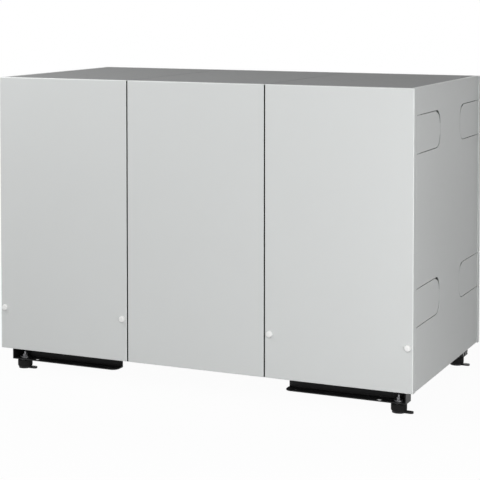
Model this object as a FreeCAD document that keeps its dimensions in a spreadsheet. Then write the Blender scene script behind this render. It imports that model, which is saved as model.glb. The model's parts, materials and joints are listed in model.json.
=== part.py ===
import FreeCAD, Part
import math
import os
import re

import Sketcher

# Ground source heat pump in a three-bay sheet-steel cabinet on four vibration mounts.
# Millimetres, +X to the right seen from the front, +Y to the back, +Z up.
# The origin is on the floor, under the middle of the outside box.

Vector = FreeCAD.Vector

SIZES = {
    # Cabinet
    "cab_width": 1350,          # over the side panels
    "cab_height": 853,
    "cab_depth": 690,           # front panel face to back panel face
    "floor_clearance": 68,      # underside of the cabinet above the floor
    "sheet": 1.5,               # thickness of the casing sheets
    "bend_round": 2.5,          # outer radius of a folded edge
    "seat_gap": 0.3,            # clearance between pieces that seat on each other
    # Front panels
    "panel_return": 22,         # depth of the folded sides
    "panel_gap": 4,             # slit between two neighbouring panels
    "panel_hem": 26,            # width of the inner rim
    "mat_thick": 14,            # sound insulation behind the face
    "mat_margin": 34,           # bare edge around the insulation
    # Quarter-turn locks
    "head_proud": 8,            # how far the heads stand out of the panel
    "head_dia": 18.5,
    "head_round": 3.5,
    "head_slot": 1.8,
    "head_slot_depth": 1.2,
    "lock_inset": 15,           # lock axis from the panel's side edge
    "lock_height": 129,         # lock axis above the panel's lower edge
    "stem_dia": 6,
    "stem_clearance": 0.5,
    "collar_dia": 11,
    "collar_thick": 1.5,
    "lock_reach": 14,           # stem end behind the panel's back
    "cross_pin_dia": 3,
    "cross_pin_length": 12,
    # Ball studs that locate the panels
    "stud_drop": 70,            # stud axis below the panel's upper edge
    "ball_dia": 8,
    "stud_neck_dia": 5,
    "stud_reach": 13,           # ball centre behind the panel's back
    "stud_foot_dia": 11,
    "stud_foot_thick": 1.4,
    # Catches in the posts
    "catch_dia": 16,
    "catch_rim_dia": 21,
    "catch_rim": 1,
    "catch_length": 22,
    "ball_clearance": 0.3,
    "pin_clearance": 0.5,
    # Frame
    "frame_gap": 3,             # panel backs to the faces of the posts
    "post_width": 36,
    "post_depth": 40,
    "post_wall": 2,
    "mullion_width": 60,
    "top_rail_height": 34,
    # Side panels
    "side_flange": 14,          # folded rim of the side panels
    "knock_height": 110,        # height of the pre-cut knock-outs
    "knock_lower_rise": 180.5,   # lower knock-outs above the cabinet's underside
    "knock_upper_rise": 667.5,
    "knock_slit": 2,
    "knock_round": 36,
    "knock_front_start": 27,    # front knock-outs, from the front face
    "knock_front_end": 254,
    "knock_rear_start": 461,    # rear knock-outs, from the front face
    # Back panels
    "back_wrap": 18,            # side strip of the back panels
    "back_wrap_thick": 3,       # the strip is a folded double sheet
    "knock_back_end": 120,      # knock-out slits along the back, from the corner
    "cable_hole_dia": 32,
    "cable_hole_pitch": 60,
    "cable_hole_drop": 80,
    "bushing_rim": 4,
    "bushing_wall": 3,
    # Top panels
    "top_flange": 18,
    "top_seam": 1,
    "back_rim": 15,             # back panels' folded upper and lower rims
    # Base rails
    "base_drop": 38,            # rail's underside below the cabinet
    "rail_sheet": 3,
    "rail_top": 112,            # rail's top above the floor
    "rail_inset": 24,           # rail's outer edge behind the front face
    "rail_depth": 45,           # outer edge to the web's inner face
    "rail_end_inset": 27,       # rail ends inside the cabinet's sides
    "rail_notch_past": 53,      # raised middle, past the seams between the bays
    "rail_notch_top": 72,       # underside of the raised middle above the floor
    "rail_corner_round": 20,
    "ledge": 32,                # inner ledge under the floor pans
    "end_round": 14,            # lower corners of the rear rail's end plates
    "end_hole_dia": 12,
    "relief_width": 8,          # bend relief where the rear rail's end plates meet web and flange
    "relief_height": 12,
    "hole_line": 12,            # middles of the lower flange's holes, behind the rail's outer edge
    "slot_length": 18,
    "slot_width": 15,
    "slot_inset": 83,           # from the rail's end
    "flange_hole_inset": 32,    # from the end of the raised middle
    "flange_hole_dia": 8.5,
    "beam_width": 34,
    "beam_drop": 38,
    "beam_wall": 3,
    "beam_inset": 48,           # outer cross members from the rail's end
    # Floor pans
    "pan_sheet": 2,
    "pan_rim": 16,
    "pan_gap": 2,
    # Vibration mounts
    "foot_end_inset": 29,       # foot axes from the rail's end
    "foot_inset": 50,           # foot axes from the front and back faces
    "plate_dia": 40,
    "plate_thick": 5,
    "ear_reach": 43,            # ear tip from the foot's axis
    "ear_width": 16,
    "ear_hole_dia": 7,
    "ear_hole_reach": 34,
    "rubber_dia": 46,
    "rubber_round": 4,
    "cap_dia": 36,
    "cap_thick": 3,
    "foot_stud_dia": 8,
    "foot_stud_top": 50,        # stud end above the floor
    "foot_nut_across": 13,
    "foot_nut_thick": 6.5,
    "foot_washer_dia": 30,
    "foot_washer_thick": 3,
    "bolt_clearance": 0.5,
    # Compressors
    "comp_dia": 172,
    "comp_height": 430,
    "comp_base_gap": 16,        # foot plate above the pan
    "comp_side_gap": 155,       # outer compressor's axis inside the left side
    "comp_pitch": 198,
    "comp_behind": 361,         # compressor axes behind the front face
    "comp_dome": 46,
    "comp_seam_height": 330,
    "comp_seam_proud": 2.5,
    "comp_plate": 186,
    "comp_plate_thick": 4,
    "comp_bolt_pitch": 152,
    "grommet_dia": 28,
    "grommet_neck_dia": 16,
    "comp_bolt_dia": 8,
    "comp_bolt_reach": 8,       # bolt end above the grommet
    "comp_washer_dia": 17.6,
    "comp_washer_thick": 1.6,
    "comp_nut_across": 13,
    "comp_nut_thick": 5.6,
    "suction_stub_height": 135,
    "suction_stub_dia": 38,
    "suction_stub_length": 26,
    "discharge_stub_dia": 30,
    "discharge_stub_height": 26,
    "term_width": 84,
    "term_height": 96,
    "term_depth": 44,
    "term_low": 210,
    # Plate heat exchangers
    "hx_width": 176,
    "hx_height": 520,
    "hx_depth": 134,
    "hx_round": 30,
    "hx_low": 18,               # underside above the pan
    "hx_behind": 321,           # front cover behind the front face of the cabinet
    "hx_cover": 6,
    "hx_plates": 7,
    "hx_rib": 3,
    "hx_rib_inset": 3,
    "hx_port_side": 50,
    "hx_port_end": 60,
    "hx_port_dia": 52,
    "hx_port_length": 16,
    "hx_foot": 26,
    "evap_side_gap": 143,       # evaporator's middle inside the right side
    "hx_pitch": 202,
    # Water and brine pipes
    "pipe_dia": 42,
    "pipe_bore": 38,
    "socket_dia": 58,
    "socket_length": 36,
    "socket_bore": 45,
    "socket_depth": 30,
    "socket_recess": 4,         # socket face inside the back panel
    "union_across": 56,         # flats of the union nuts
    "union_length": 32,
    "pipe_hole_dia": 66,
    # Refrigerant lines
    "hot_dia": 22,
    "hot_bend": 33,
    "hot_rise": 92,             # discharge header above the compressors
    "suction_dia": 42,          # over its insulation
    "suction_bend": 50,
    "suction_rise": 162,
    "suction_forward": 74,
    "header_dia": 36,
    "header_bend": 30,
    "header_behind": 72,        # header behind the compressor shells
    "hot_forward": 74,          # riser in front of the condenser
    "liquid_dia": 16,
    "liquid_bend": 26,
    "liquid_near": 84,
    "liquid_far": 160,
    "liquid_turn": 205,         # turning point left of the middle
    "drier_dia": 76,
    "drier_length": 170,
    "drier_across": 30,
    "drier_neck": 24,
    "drier_shoulder": 16,
    "drier_shoulder_rise": 5,
    "drier_shoulder_inset": 7.6,
    "braze_collar": 3,          # socket wall over a line
    "glass_dia": 34,
    "glass_length": 46,
    "glass_across": 130,
    "glass_cap_dia": 27,
    "glass_cap_thick": 6,
    "valve_past_cond": 42,      # valve to the right of the condenser's middle
    "valve_body": 44,
    "valve_motor_dia": 40,
    "valve_motor_height": 78,
    "valve_motor_edge": 4,
    "valve_neck_dia": 29,
    "valve_neck_height": 15,
    # Electrical box
    "elec_half_width": 184,
    "elec_front": 56,           # lid face behind the front face
    "elec_depth": 140,
    "elec_low": 330,
    "elec_high": 850,
    "elec_rim": 14,
    "lid_return": 8,
    "rail_din_height": 35,
    "rail_din_depth": 8,
    "gear_width": 54,
    "gear_height": 84,
    "gear_depth": 72,
    "gear_step": 22,            # wiring ledge behind the gear's face
    "gear_pitch": 66,
    "gear_row": 720,
    "term_row": 470,
    "block_pitch": 12,
    "block_width": 10,
    "block_height": 46,
    "block_depth": 40,
    "switch_height": 620,
    "switch_plate": 58,
    "switch_plate_thick": 3,
    "switch_grip_length": 44,
    "switch_grip_width": 13,
    "switch_grip_depth": 13,
    "switch_hub_dia": 30,
    "switch_hub_depth": 6,
    "switch_shaft_dia": 8,
    "switch_shaft_play": 0.1,
    "switch_shaft_length": 34,
}

doc = FreeCAD.newDocument("HeatPump")
sheet = doc.addObject("Spreadsheet::Sheet", "Sizes")
for row, (size_name, size_value) in enumerate(SIZES.items(), start=1):
    sheet.set(f"A{row}", size_name)
    sheet.set(f"B{row}", str(size_value))
    sheet.setAlias(f"B{row}", size_name)
doc.recompute()

# Places that many pieces share, as formulas of the sizes
FRONT = "((head_proud - cab_depth) / 2)"
BACK = f"({FRONT} + cab_depth)"
UNDER = "floor_clearance"
TOP = "(floor_clearance + cab_height)"
SIDE = "(cab_width / 2)"
MODULE = "(cab_width / 3)"
PANEL_BACK = f"({FRONT} + panel_return)"
FRAME_FRONT = f"({PANEL_BACK} + frame_gap)"
SIDE_BACK = f"({BACK} - sheet - seat_gap)"
FRAME_BACK = f"({SIDE_BACK} - sheet - seat_gap)"
POST_OUTER = f"({SIDE} - sheet - seat_gap)"
LOCK_Z = f"({UNDER} + lock_height)"
STUD_Z = f"({TOP} - stud_drop)"
OUTER_LOCK_X = f"({SIDE} - lock_inset)"
INNER_LOCK_X = f"({MODULE} / 2 + panel_gap / 2 + lock_inset)"
MIDDLE_STUD_X = f"({MODULE} / 2 - panel_gap / 2 - lock_inset)"
RAIL_LOW = f"({UNDER} - base_drop)"
RAIL_END = f"({SIDE} - rail_end_inset)"
NOTCH_END = f"({MODULE} / 2 + rail_notch_past)"
PAN_TOP = "(rail_top + pan_sheet)"
FOOT_X = f"({RAIL_END} - foot_end_inset)"
FOOT_FRONT = f"({FRONT} + foot_inset)"
FOOT_BACK = f"({BACK} - foot_inset)"

# A hexagon's corners lie its width across the flats over this away from its middle
HEX_FLATS = math.sqrt(3)

parts = []


# Formulas and placing

def formula(text):
    """The text with every size name turned into a reference to the sheet."""
    return re.sub(r"[a-z][a-z0-9_]*",
                  lambda word: "Sizes." + word[0] if word[0] in SIZES else word[0], str(text))


def number(text):
    return float(sheet.evalExpression(formula(text)))


def bind(thing, **formulas):
    for prop, text in formulas.items():
        thing.setExpression(prop, formula(text))


def place(thing, x=0, y=0, z=0, along="Z"):
    turns = {"Z": (Vector(0, 0, 1), 0), "X": (Vector(0, 1, 0), 90), "Y": (Vector(1, 0, 0), -90),
             "-Y": (Vector(1, 0, 0), 90), "-X": (Vector(0, 1, 0), -90), "-Z": (Vector(1, 0, 0), 180)}
    thing.Placement = FreeCAD.Placement(Vector(), FreeCAD.Rotation(*turns[along]))
    for axis, text in zip("xyz", (x, y, z)):
        thing.setExpression(f"Placement.Base.{axis}", formula(text))
    return thing


def keep(piece, name):
    """Marks a finished piece as a sub-part."""
    piece.Label = name
    parts.append(piece)
    return piece


# Plain solids and their combinations

def block(name, x, y, z, kind="Part::Box", owner=None):
    """A box between the low and high formulas on each axis."""
    solid = owner.newObject(kind, name) if owner else doc.addObject(kind, name)
    bind(solid, Length=f"({x[1]}) - ({x[0]})", Width=f"({y[1]}) - ({y[0]})", Height=f"({z[1]}) - ({z[0]})")
    return place(solid, x[0], y[0], z[0])


def rod(name, dia, length, x, y, z, along="Z", kind="Part::Cylinder", owner=None):
    """A cylinder that starts at the point and runs along the direction."""
    solid = owner.newObject(kind, name) if owner else doc.addObject(kind, name)
    bind(solid, Radius=f"({dia}) / 2", Height=length)
    return place(solid, x, y, z, along)


def combine(kind, name, pieces):
    piece = doc.addObject(kind, name)
    if kind == "Part::Compound":
        piece.Links = pieces
    else:
        piece.Shapes = pieces
    return piece


def fuse(name, pieces):
    return combine("Part::MultiFuse", name, pieces)


def group(name, pieces):
    return combine("Part::Compound", name, pieces)


def cut(name, base, tools):
    piece = doc.addObject("Part::Cut", name)
    piece.Base = base
    piece.Tool = tools[0] if len(tools) == 1 else group(name + "_tools", tools)
    return piece


def mirror(name, source):
    """The same piece on the other side of the middle plane."""
    piece = doc.addObject("Part::Mirroring", name)
    piece.Source = source
    piece.Normal = Vector(1, 0, 0)
    return piece


# Bodies made of sketched features

def origin_plane(body, role):
    return next(item for item in body.Origin.OriginFeatures if item.Role == role)


def outline(body, name, corners, plane="XZ_Plane"):
    """A closed sketch through corners given as formulas, each held by its two distances."""
    sketch = body.newObject("Sketcher::SketchObject", name)
    sketch.AttachmentSupport = [(origin_plane(body, plane), "")]
    sketch.MapMode = "FlatFace"
    points = [Vector(number(a), number(b), 0) for a, b in corners]
    count = len(points)
    for index in range(count):
        sketch.addGeometry(Part.LineSegment(points[index], points[(index + 1) % count]))
    for index in range(count):
        sketch.addConstraint(Sketcher.Constraint("Coincident", index, 2, (index + 1) % count, 1))
    for index, (a, b) in enumerate(corners):
        for kind, text, value in (("DistanceX", a, points[index].x), ("DistanceY", b, points[index].y)):
            held = sketch.addConstraint(Sketcher.Constraint(kind, -1, 1, index, 1, value))
            sketch.setExpression(f"Constraints[{held}]", formula(text))
    return sketch


def turned(name, corners, x=0, y=0, z=0, along="Z"):
    """A body turned about its own axis from (radius, height) corners."""
    body = doc.addObject("PartDesign::Body", name)
    turn = body.newObject("PartDesign::Revolution", name + "_turn")
    turn.Profile = outline(body, name + "_outline", corners)
    turn.ReferenceAxis = (turn.Profile[0], ["V_Axis"])
    turn.Angle = 360
    place(body, x, y, z, along)
    return body


def round_edges(body, name, radius, wanted):
    """Rounds the edges of the body's last feature for which wanted(edge) holds."""
    doc.recompute()
    base = body.Tip
    names = [f"Edge{i}" for i, edge in enumerate(base.Shape.Edges, start=1) if wanted(edge)]
    feature = body.newObject("PartDesign::Fillet", name)
    feature.Base = (base, names)
    bind(feature, Radius=radius)
    return feature


def folded_panel(name, x, y, z, opens, rim, thick="sheet"):
    """A sheet tray with rounded outer edges, open on one side, with an inner rim of the given width."""
    body = doc.addObject("PartDesign::Body", name)
    block(name + "_blank", x, y, z, "PartDesign::AdditiveBox", body)
    axis = "xyz".index(opens[1])
    outer_side = 1 if opens[0] == "-" else 0
    doc.recompute()
    bounds = body.Tip.Shape.BoundBox
    face_at = [(bounds.XMin, bounds.XMax), (bounds.YMin, bounds.YMax), (bounds.ZMin, bounds.ZMax)]
    level = face_at[axis][outer_side]
    round_edges(body, name + "_bend", "bend_round",
                lambda edge: all(abs(tuple(v.Point)[axis] - level) < 1e-6 for v in edge.Vertexes))
    spans = [x, y, z]
    inner = [(f"({low}) + {thick}", f"({high}) - {thick}") for low, high in spans]
    mouth = [(f"({low}) + {rim}", f"({high}) - {rim}") for low, high in spans]
    low, high = spans[axis]
    if opens[0] == "+":
        mouth[axis] = (f"({low}) + {thick}", f"({high}) + {thick}")
    else:
        mouth[axis] = (f"({low}) - {thick}", f"({high}) - {thick}")
    block(name + "_mouth", *mouth, "PartDesign::SubtractiveBox", body)
    block(name + "_inside", *inner, "PartDesign::SubtractiveBox", body)
    return body


# Front panels, their insulation, locks and ball studs

PANELS = {
    "left": (f"-{SIDE}", f"-({MODULE} / 2 + panel_gap / 2)"),
    "middle": (f"-({MODULE} / 2 - panel_gap / 2)", f"{MODULE} / 2 - panel_gap / 2"),
    "right": (f"{MODULE} / 2 + panel_gap / 2", SIDE),
}
LOCKS = {
    "outer_left": ("left", f"-{OUTER_LOCK_X}"),
    "inner_left": ("left", f"-{INNER_LOCK_X}"),
    "inner_right": ("right", INNER_LOCK_X),
    "outer_right": ("right", OUTER_LOCK_X),
}
STUDS = {
    "left": [(f"-{OUTER_LOCK_X}", STUD_Z), (f"-{INNER_LOCK_X}", STUD_Z)],
    "middle": [(f"{side}{MIDDLE_STUD_X}", level) for level in (STUD_Z, LOCK_Z) for side in ("-", "")],
    "right": [(INNER_LOCK_X, STUD_Z), (OUTER_LOCK_X, STUD_Z)],
}

for side, (low, high) in PANELS.items():
    body = folded_panel(f"front_panel_{side}", (low, high), (FRONT, PANEL_BACK), (UNDER, TOP), "+y",
                        "panel_hem")
    for lock, (panel, x) in LOCKS.items():
        if panel == side:
            rod(f"lock_hole_{lock}", "stem_dia + 2 * stem_clearance", "2 * sheet", x, f"{FRONT} - sheet / 2",
                LOCK_Z, "Y", "PartDesign::SubtractiveCylinder", body)
            rod(f"rim_hole_{lock}", "cross_pin_length + 2 * pin_clearance", "2 * sheet", x,
                f"{PANEL_BACK} - sheet * 3 / 2", LOCK_Z, "Y", "PartDesign::SubtractiveCylinder", body)
    keep(body, f"front_panel_{side}")
    mat = block(f"mat_{side}", (f"{low} + mat_margin", f"{high} - mat_margin"),
                (f"{FRONT} + sheet", f"{FRONT} + sheet + mat_thick"),
                (f"{UNDER} + mat_margin", f"{TOP} - mat_margin"))
    keep(mat, f"panel_mat_{side}")
    studs = []
    for index, (x, z) in enumerate(STUDS[side], start=1):
        name = f"{side}_stud_{index}"
        ball = doc.addObject("Part::Sphere", name + "_ball")
        bind(ball, Radius="ball_dia / 2")
        place(ball, x, f"{PANEL_BACK} + stud_reach", z)
        neck = rod(name + "_neck", "stud_neck_dia", "stud_reach", x, PANEL_BACK, z, "Y")
        foot = rod(name + "_foot", "stud_foot_dia", "stud_foot_thick", x, PANEL_BACK, z, "Y")
        studs.append(fuse(name, [ball, neck, foot]))
    keep(group(f"studs_{side}", studs), f"panel_studs_{side}")

for lock, (panel, x) in LOCKS.items():
    reach = "panel_return + lock_reach"
    corners = [
        (0, "-head_proud"), ("head_dia / 2 - head_round", "-head_proud"),
        ("head_dia / 2 - head_round * 3 / 10", "-head_proud + head_round * 3 / 10"),
        ("head_dia / 2", "-head_proud + head_round"),
        ("head_dia / 2", "-seat_gap"), ("stem_dia / 2", "-seat_gap"),
        ("stem_dia / 2", "sheet + seat_gap"), ("collar_dia / 2", "sheet + seat_gap"),
        ("collar_dia / 2", "sheet + seat_gap + collar_thick"),
        ("stem_dia / 2", "sheet + seat_gap + collar_thick"),
        ("stem_dia / 2", reach), (0, reach),
    ]
    head = turned(f"lock_{lock}_turned", corners, x, FRONT, LOCK_Z, "Y")
    slot = block(f"lock_{lock}_slot", (f"{x} - head_slot / 2", f"{x} + head_slot / 2"),
                 (f"{FRONT} - head_proud - 1", f"{FRONT} - head_proud + head_slot_depth"),
                 (f"{LOCK_Z} - head_dia / 3", f"{LOCK_Z} + head_dia / 3"))
    pin = rod(f"lock_{lock}_pin", "cross_pin_dia", "cross_pin_length", f"{x} - cross_pin_length / 2",
              f"{FRONT} + {reach} - cross_pin_dia", LOCK_Z, "X")
    slotted = cut(f"lock_{lock}_slotted", head, [slot])
    keep(fuse(f"lock_{lock}", [slotted, pin]), f"panel_lock_{lock}")


# Catches: cups pressed into the posts, wide ones for the locks and close ones for the ball studs

def catch(name, x, z, bore):
    cup = rod(name + "_cup", "catch_dia", "catch_length", x, FRAME_FRONT, z, "Y")
    rim = rod(name + "_rim", "catch_rim_dia", "catch_rim", x, f"{FRAME_FRONT} - catch_rim", z, "Y")
    hole = rod(name + "_bore", bore, "catch_length", x, f"{FRAME_FRONT} - 2 * catch_rim", z, "Y")
    return cut(name, fuse(name + "_solid", [cup, rim]), [hole])


catches = [catch(f"lock_catch_{lock}", x, LOCK_Z, "cross_pin_length + 2 * pin_clearance")
           for lock, (panel, x) in LOCKS.items()]
catches += [catch(f"stud_catch_{side}_{index}", x, z, "ball_dia + 2 * ball_clearance")
            for side, places in STUDS.items() for index, (x, z) in enumerate(places, start=1)]
keep(group("catches", catches), "panel_catches")


# Posts: channels that stand on the base rails and carry the top rails

POST_TOP = f"({TOP} - top_flange - seat_gap - top_rail_height)"


def post(name, low, high, y_low, y_high, opening):
    """A channel open towards the inside of the bay; opening is the low and high side of its hollow."""
    outside = block(name + "_outside", (low, high), (y_low, y_high), ("rail_top", POST_TOP))
    hollow = block(name + "_hollow", opening, (f"{y_low} + post_wall", f"{y_high} - post_wall"),
                   ("rail_top - 1", f"{POST_TOP} + 1"))
    return cut(name + "_channel", outside, [hollow])


def with_catch_holes(name, channel, places):
    holes = [rod(f"{name}_hole_{index}", "catch_dia", "post_wall * 2", x, f"{FRAME_FRONT} - post_wall / 2", z,
                 "Y") for index, (x, z) in enumerate(places, start=1)]
    return cut(name, channel, holes)


front_y = (FRAME_FRONT, f"{FRAME_FRONT} + post_depth")
back_y = (f"{FRAME_BACK} - post_depth", FRAME_BACK)
corner = (f"{POST_OUTER} - post_width", POST_OUTER)
corner_hollow = (f"{POST_OUTER} - post_width - 1", f"{POST_OUTER} - post_wall")
mullion = (f"{MODULE} / 2 - mullion_width / 2", f"{MODULE} / 2 + mullion_width / 2")
mullion_hollow = (f"{MODULE} / 2 - mullion_width / 2 + post_wall",
                  f"{MODULE} / 2 + mullion_width / 2 - post_wall")

front_corner = with_catch_holes("front_post_right", post("front_post", *corner, *front_y, corner_hollow),
                                [(OUTER_LOCK_X, LOCK_Z), (OUTER_LOCK_X, STUD_Z)])
keep(group("front_corner_posts", [front_corner, mirror("front_post_left", front_corner)]),
     "front_corner_posts")
rear_corner = post("rear_post", *corner, *back_y, corner_hollow)
keep(group("rear_corner_posts", [rear_corner, mirror("rear_post_left", rear_corner)]), "rear_corner_posts")


def mullion_channel(name, y_low, y_high, open_low, open_high):
    outside = block(name + "_outside", mullion, (y_low, y_high), ("rail_top", POST_TOP))
    hollow = block(name + "_hollow", mullion_hollow, (open_low, open_high),
                   ("rail_top - 1", f"{POST_TOP} + 1"))
    return cut(name + "_channel", outside, [hollow])


front_mullion = with_catch_holes(
    "front_mullion_right",
    mullion_channel("front_mullion", *front_y, f"{FRAME_FRONT} + post_wall",
                    f"{FRAME_FRONT} + post_depth + 1"),
    [(INNER_LOCK_X, LOCK_Z), (INNER_LOCK_X, STUD_Z), (MIDDLE_STUD_X, LOCK_Z), (MIDDLE_STUD_X, STUD_Z)])
keep(group("front_mullions", [front_mullion, mirror("front_mullion_left", front_mullion)]), "front_mullions")
rear_mullion = mullion_channel("rear_mullion", *back_y, f"{FRAME_BACK} - post_depth - 1",
                               f"{FRAME_BACK} - post_wall")
keep(group("rear_mullions", [rear_mullion, mirror("rear_mullion_left", rear_mullion)]), "rear_mullions")


def top_rail(name, y_low, y_high, hollow_low, hollow_high):
    """An angle across all three bays on top of the posts."""
    x = (f"-{POST_OUTER}", POST_OUTER)
    z = (POST_TOP, f"{POST_TOP} + top_rail_height")
    outside = block(name + "_outside", x, (y_low, y_high), z)
    hollow = block(name + "_hollow", (f"{x[0]} - 1", f"{x[1]} + 1"), (hollow_low, hollow_high),
                   (f"{z[0]} + post_wall", f"{z[1]} - post_wall"))
    return cut(name, outside, [hollow])


keep(group("top_rails", [
    top_rail("top_rail_front", *front_y, f"{FRAME_FRONT} + post_wall", f"{FRAME_FRONT} + post_depth + 1"),
    top_rail("top_rail_back", *back_y, f"{FRAME_BACK} - post_depth - 1", f"{FRAME_BACK} - post_wall"),
]), "top_rails")


# Side panels with pre-cut knock-outs

def rounded_strip(name, thickness, y_low, y_high, z_low, z_high, radius, rounded):
    """A flat strip across x with its two corners rounded at the low or the high end of y."""
    flat_low = f"{y_low} + {radius}" if rounded == "low" else y_low
    flat_high = f"{y_high} - {radius}" if rounded == "high" else y_high
    centre = flat_low if rounded == "low" else flat_high
    pieces = [block(name + "_flat", thickness, (flat_low, flat_high), (z_low, z_high)),
              block(name + "_end", thickness, (y_low, y_high),
                    (f"{z_low} + {radius}", f"{z_high} - {radius}"))]
    for corner_name, level in (("_lower", f"{z_low} + {radius}"), ("_upper", f"{z_high} - {radius}")):
        pieces.append(rod(name + corner_name, f"2 * ({radius})", f"({thickness[1]}) - ({thickness[0]})",
                          thickness[0], centre, level, "X"))
    return fuse(name, pieces)


def knock_slit(name, thickness, y_low, y_high, level, rounded):
    """The U-shaped slit round a knock-out; its tab stays joined at the end that isn't rounded."""
    z_low = f"{UNDER} + {level}"
    z_high = f"{z_low} + knock_height"
    wide = rounded_strip(name + "_wide", thickness, y_low, y_high, z_low, z_high, "knock_round", rounded)
    tab_low = f"{y_low} + knock_slit" if rounded == "low" else f"{y_low} - 1"
    tab_high = f"{y_high} - knock_slit" if rounded == "high" else f"{y_high} + 1"
    tab = rounded_strip(name + "_tab", (f"{thickness[0]} - 1", f"{thickness[1]} + 1"), tab_low, tab_high,
                        f"{z_low} + knock_slit", f"{z_high} - knock_slit", "knock_round - knock_slit",
                        rounded)
    return cut(name, wide, [tab])


side_front = f"({PANEL_BACK} + frame_gap / 3)"
side_blank = folded_panel("side_blank", (f"{SIDE} - side_flange", SIDE), (side_front, SIDE_BACK),
                          (UNDER, TOP), "-x", "sheet")
front_opening = block("side_front_opening", (f"{SIDE} - side_flange - 1", f"{SIDE} - sheet"),
                      (f"{side_front} - 1", f"{side_front} + 2 * sheet"), (f"{UNDER} - 1", f"{TOP} + 1"))
through = (f"{SIDE} - 2 * sheet", f"{SIDE} + sheet")
slits = []
for level in ("knock_lower_rise", "knock_upper_rise"):
    slits.append(knock_slit(f"front_{level}", through, f"{FRONT} + knock_front_start",
                            f"{FRONT} + knock_front_end", level, "high"))
    slits.append(knock_slit(f"rear_{level}", through, f"{FRONT} + knock_rear_start",
                            f"{SIDE_BACK} - 2 * sheet", level, "low"))
side_panel = cut("side_panel", side_blank, slits + [front_opening])
keep(side_panel, "side_panel_right")
keep(mirror("side_panel_mirrored", side_panel), "side_panel_left")


# Back panels: flat sheets with upper and lower rims; the outer two wrap round the side panels

def back_panel(side, x_low, x_high, wrap):
    name = f"back_{side}_folded"
    body = doc.addObject("PartDesign::Body", name)
    rim_y = (f"{BACK} - back_rim", BACK)
    rim_x = (x_low, f"{SIDE} - side_flange - seat_gap" if wrap else x_high)
    block(name + "_sheet", (x_low, x_high), (f"{BACK} - sheet", BACK), (UNDER, TOP),
          "PartDesign::AdditiveBox", body)
    block(name + "_upper", rim_x, rim_y, (f"{TOP} - sheet", TOP), "PartDesign::AdditiveBox", body)
    block(name + "_lower", rim_x, rim_y, (UNDER, f"{UNDER} + sheet"), "PartDesign::AdditiveBox", body)
    if wrap:
        block(name + "_strip", (f"{SIDE} + seat_gap", x_high), (f"{BACK} - back_wrap", BACK), (UNDER, TOP),
              "PartDesign::AdditiveBox", body)
    back_level = number(BACK)
    top_level = number(TOP)
    side_level = number(x_high)

    def outer_bend(edge):
        ends = [vertex.Point for vertex in edge.Vertexes]
        at_back = all(abs(end.y - back_level) < 1e-6 for end in ends)
        at_top = all(abs(end.z - top_level) < 1e-6 for end in ends)
        at_side = all(abs(end.x - side_level) < 1e-6 for end in ends)
        return at_back and (at_top or (wrap and at_side))

    round_edges(body, name + "_bend", "bend_round / 2", outer_bend)
    return body


def back_slits(name):
    """The knock-outs' slits over the corner: the side strip and the first stretch of the back."""
    slits = []
    for level in ("knock_lower_rise", "knock_upper_rise"):
        for edge, low in (("lower", f"{UNDER} + {level}"),
                          ("upper", f"{UNDER} + {level} + knock_height - knock_slit")):
            slits.append(block(f"{name}_{level}_{edge}",
                               (f"{SIDE} - knock_back_end", f"{SIDE} + 2 * back_wrap_thick"),
                               (f"{BACK} - 2 * back_wrap", f"{BACK} + sheet"), (low, f"{low} + knock_slit")))
    return slits


wrap_x = f"{SIDE} + back_wrap_thick"
seam_x = f"{MODULE} / 2 + top_seam / 2"
EVAP_X = f"({SIDE} - evap_side_gap)"
COND_X = f"({EVAP_X} - hx_pitch)"
WATER_PORTS = {
    "heating_flow_pipe": (COND_X, "high"),
    "heating_return_pipe": (COND_X, "low"),
    "brine_inlet_pipe": (EVAP_X, "high"),
    "brine_outlet_pipe": (EVAP_X, "low"),
}
HX_LOW = f"({PAN_TOP} + hx_low)"
HX_FRONT = f"({FRONT} + hx_behind)"
HX_BACK = f"({HX_FRONT} + hx_depth)"
PORT_Z = {"high": f"({HX_LOW} + hx_height - hx_port_end)", "low": f"({HX_LOW} + hx_port_end)"}
CABLE_Z = f"({TOP} - cable_hole_drop)"

pipe_holes = [rod(f"pipe_hole_{name}", "pipe_hole_dia", "4 * sheet", f"{across} + hx_port_side",
                  f"{BACK} - 2 * sheet", PORT_Z[level], "Y") for name, (across, level) in WATER_PORTS.items()]
cable_holes = [rod(f"cable_hole_{index}", "cable_hole_dia", "4 * sheet", f"{index} * cable_hole_pitch",
                   f"{BACK} - 2 * sheet", CABLE_Z, "Y") for index in (-1, 1)]
back_right = back_panel("right", seam_x, wrap_x, True)
back_plain = back_panel("plain", seam_x, wrap_x, True)
keep(cut("back_right", back_right, back_slits("back_right") + pipe_holes), "back_panel_right")
keep(mirror("back_left", cut("back_left_source", back_plain, back_slits("back_left"))), "back_panel_left")
back_middle = back_panel("middle", f"-({seam_x}) + top_seam", f"{seam_x} - top_seam", False)
keep(cut("back_centre", back_middle, cable_holes), "back_panel_middle")

top_y = (f"{PANEL_BACK} + frame_gap / 3", f"{BACK} - back_rim - seat_gap")
top_outer = f"{SIDE} - side_flange - seat_gap"
top_right = folded_panel("top_right", (seam_x, top_outer), top_y, (f"{TOP} - top_flange", TOP), "-z", "sheet")
keep(top_right, "top_panel_right")
keep(mirror("top_left", top_right), "top_panel_left")
keep(folded_panel("top_middle", (f"-({seam_x}) + top_seam", f"{seam_x} - top_seam"), top_y,
                  (f"{TOP} - top_flange", TOP), "-z", "sheet"), "top_panel_middle")


# Base: two folded rails across the machine, cross members between them and a floor pan in each bay

RAIL_OUTER = f"({FRONT} + rail_inset)"
WEB_INNER = f"({RAIL_OUTER} + rail_depth)"
WEB_OUTER = f"({WEB_INNER} - rail_sheet)"
LEDGE_END = f"({WEB_INNER} + ledge)"
END_HOLE_Y = f"(({RAIL_OUTER} + {WEB_OUTER}) / 2)"
HOLE_Y = f"({RAIL_OUTER} + hole_line)"
MIDDLE_Y = "(head_proud / 2)"


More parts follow.
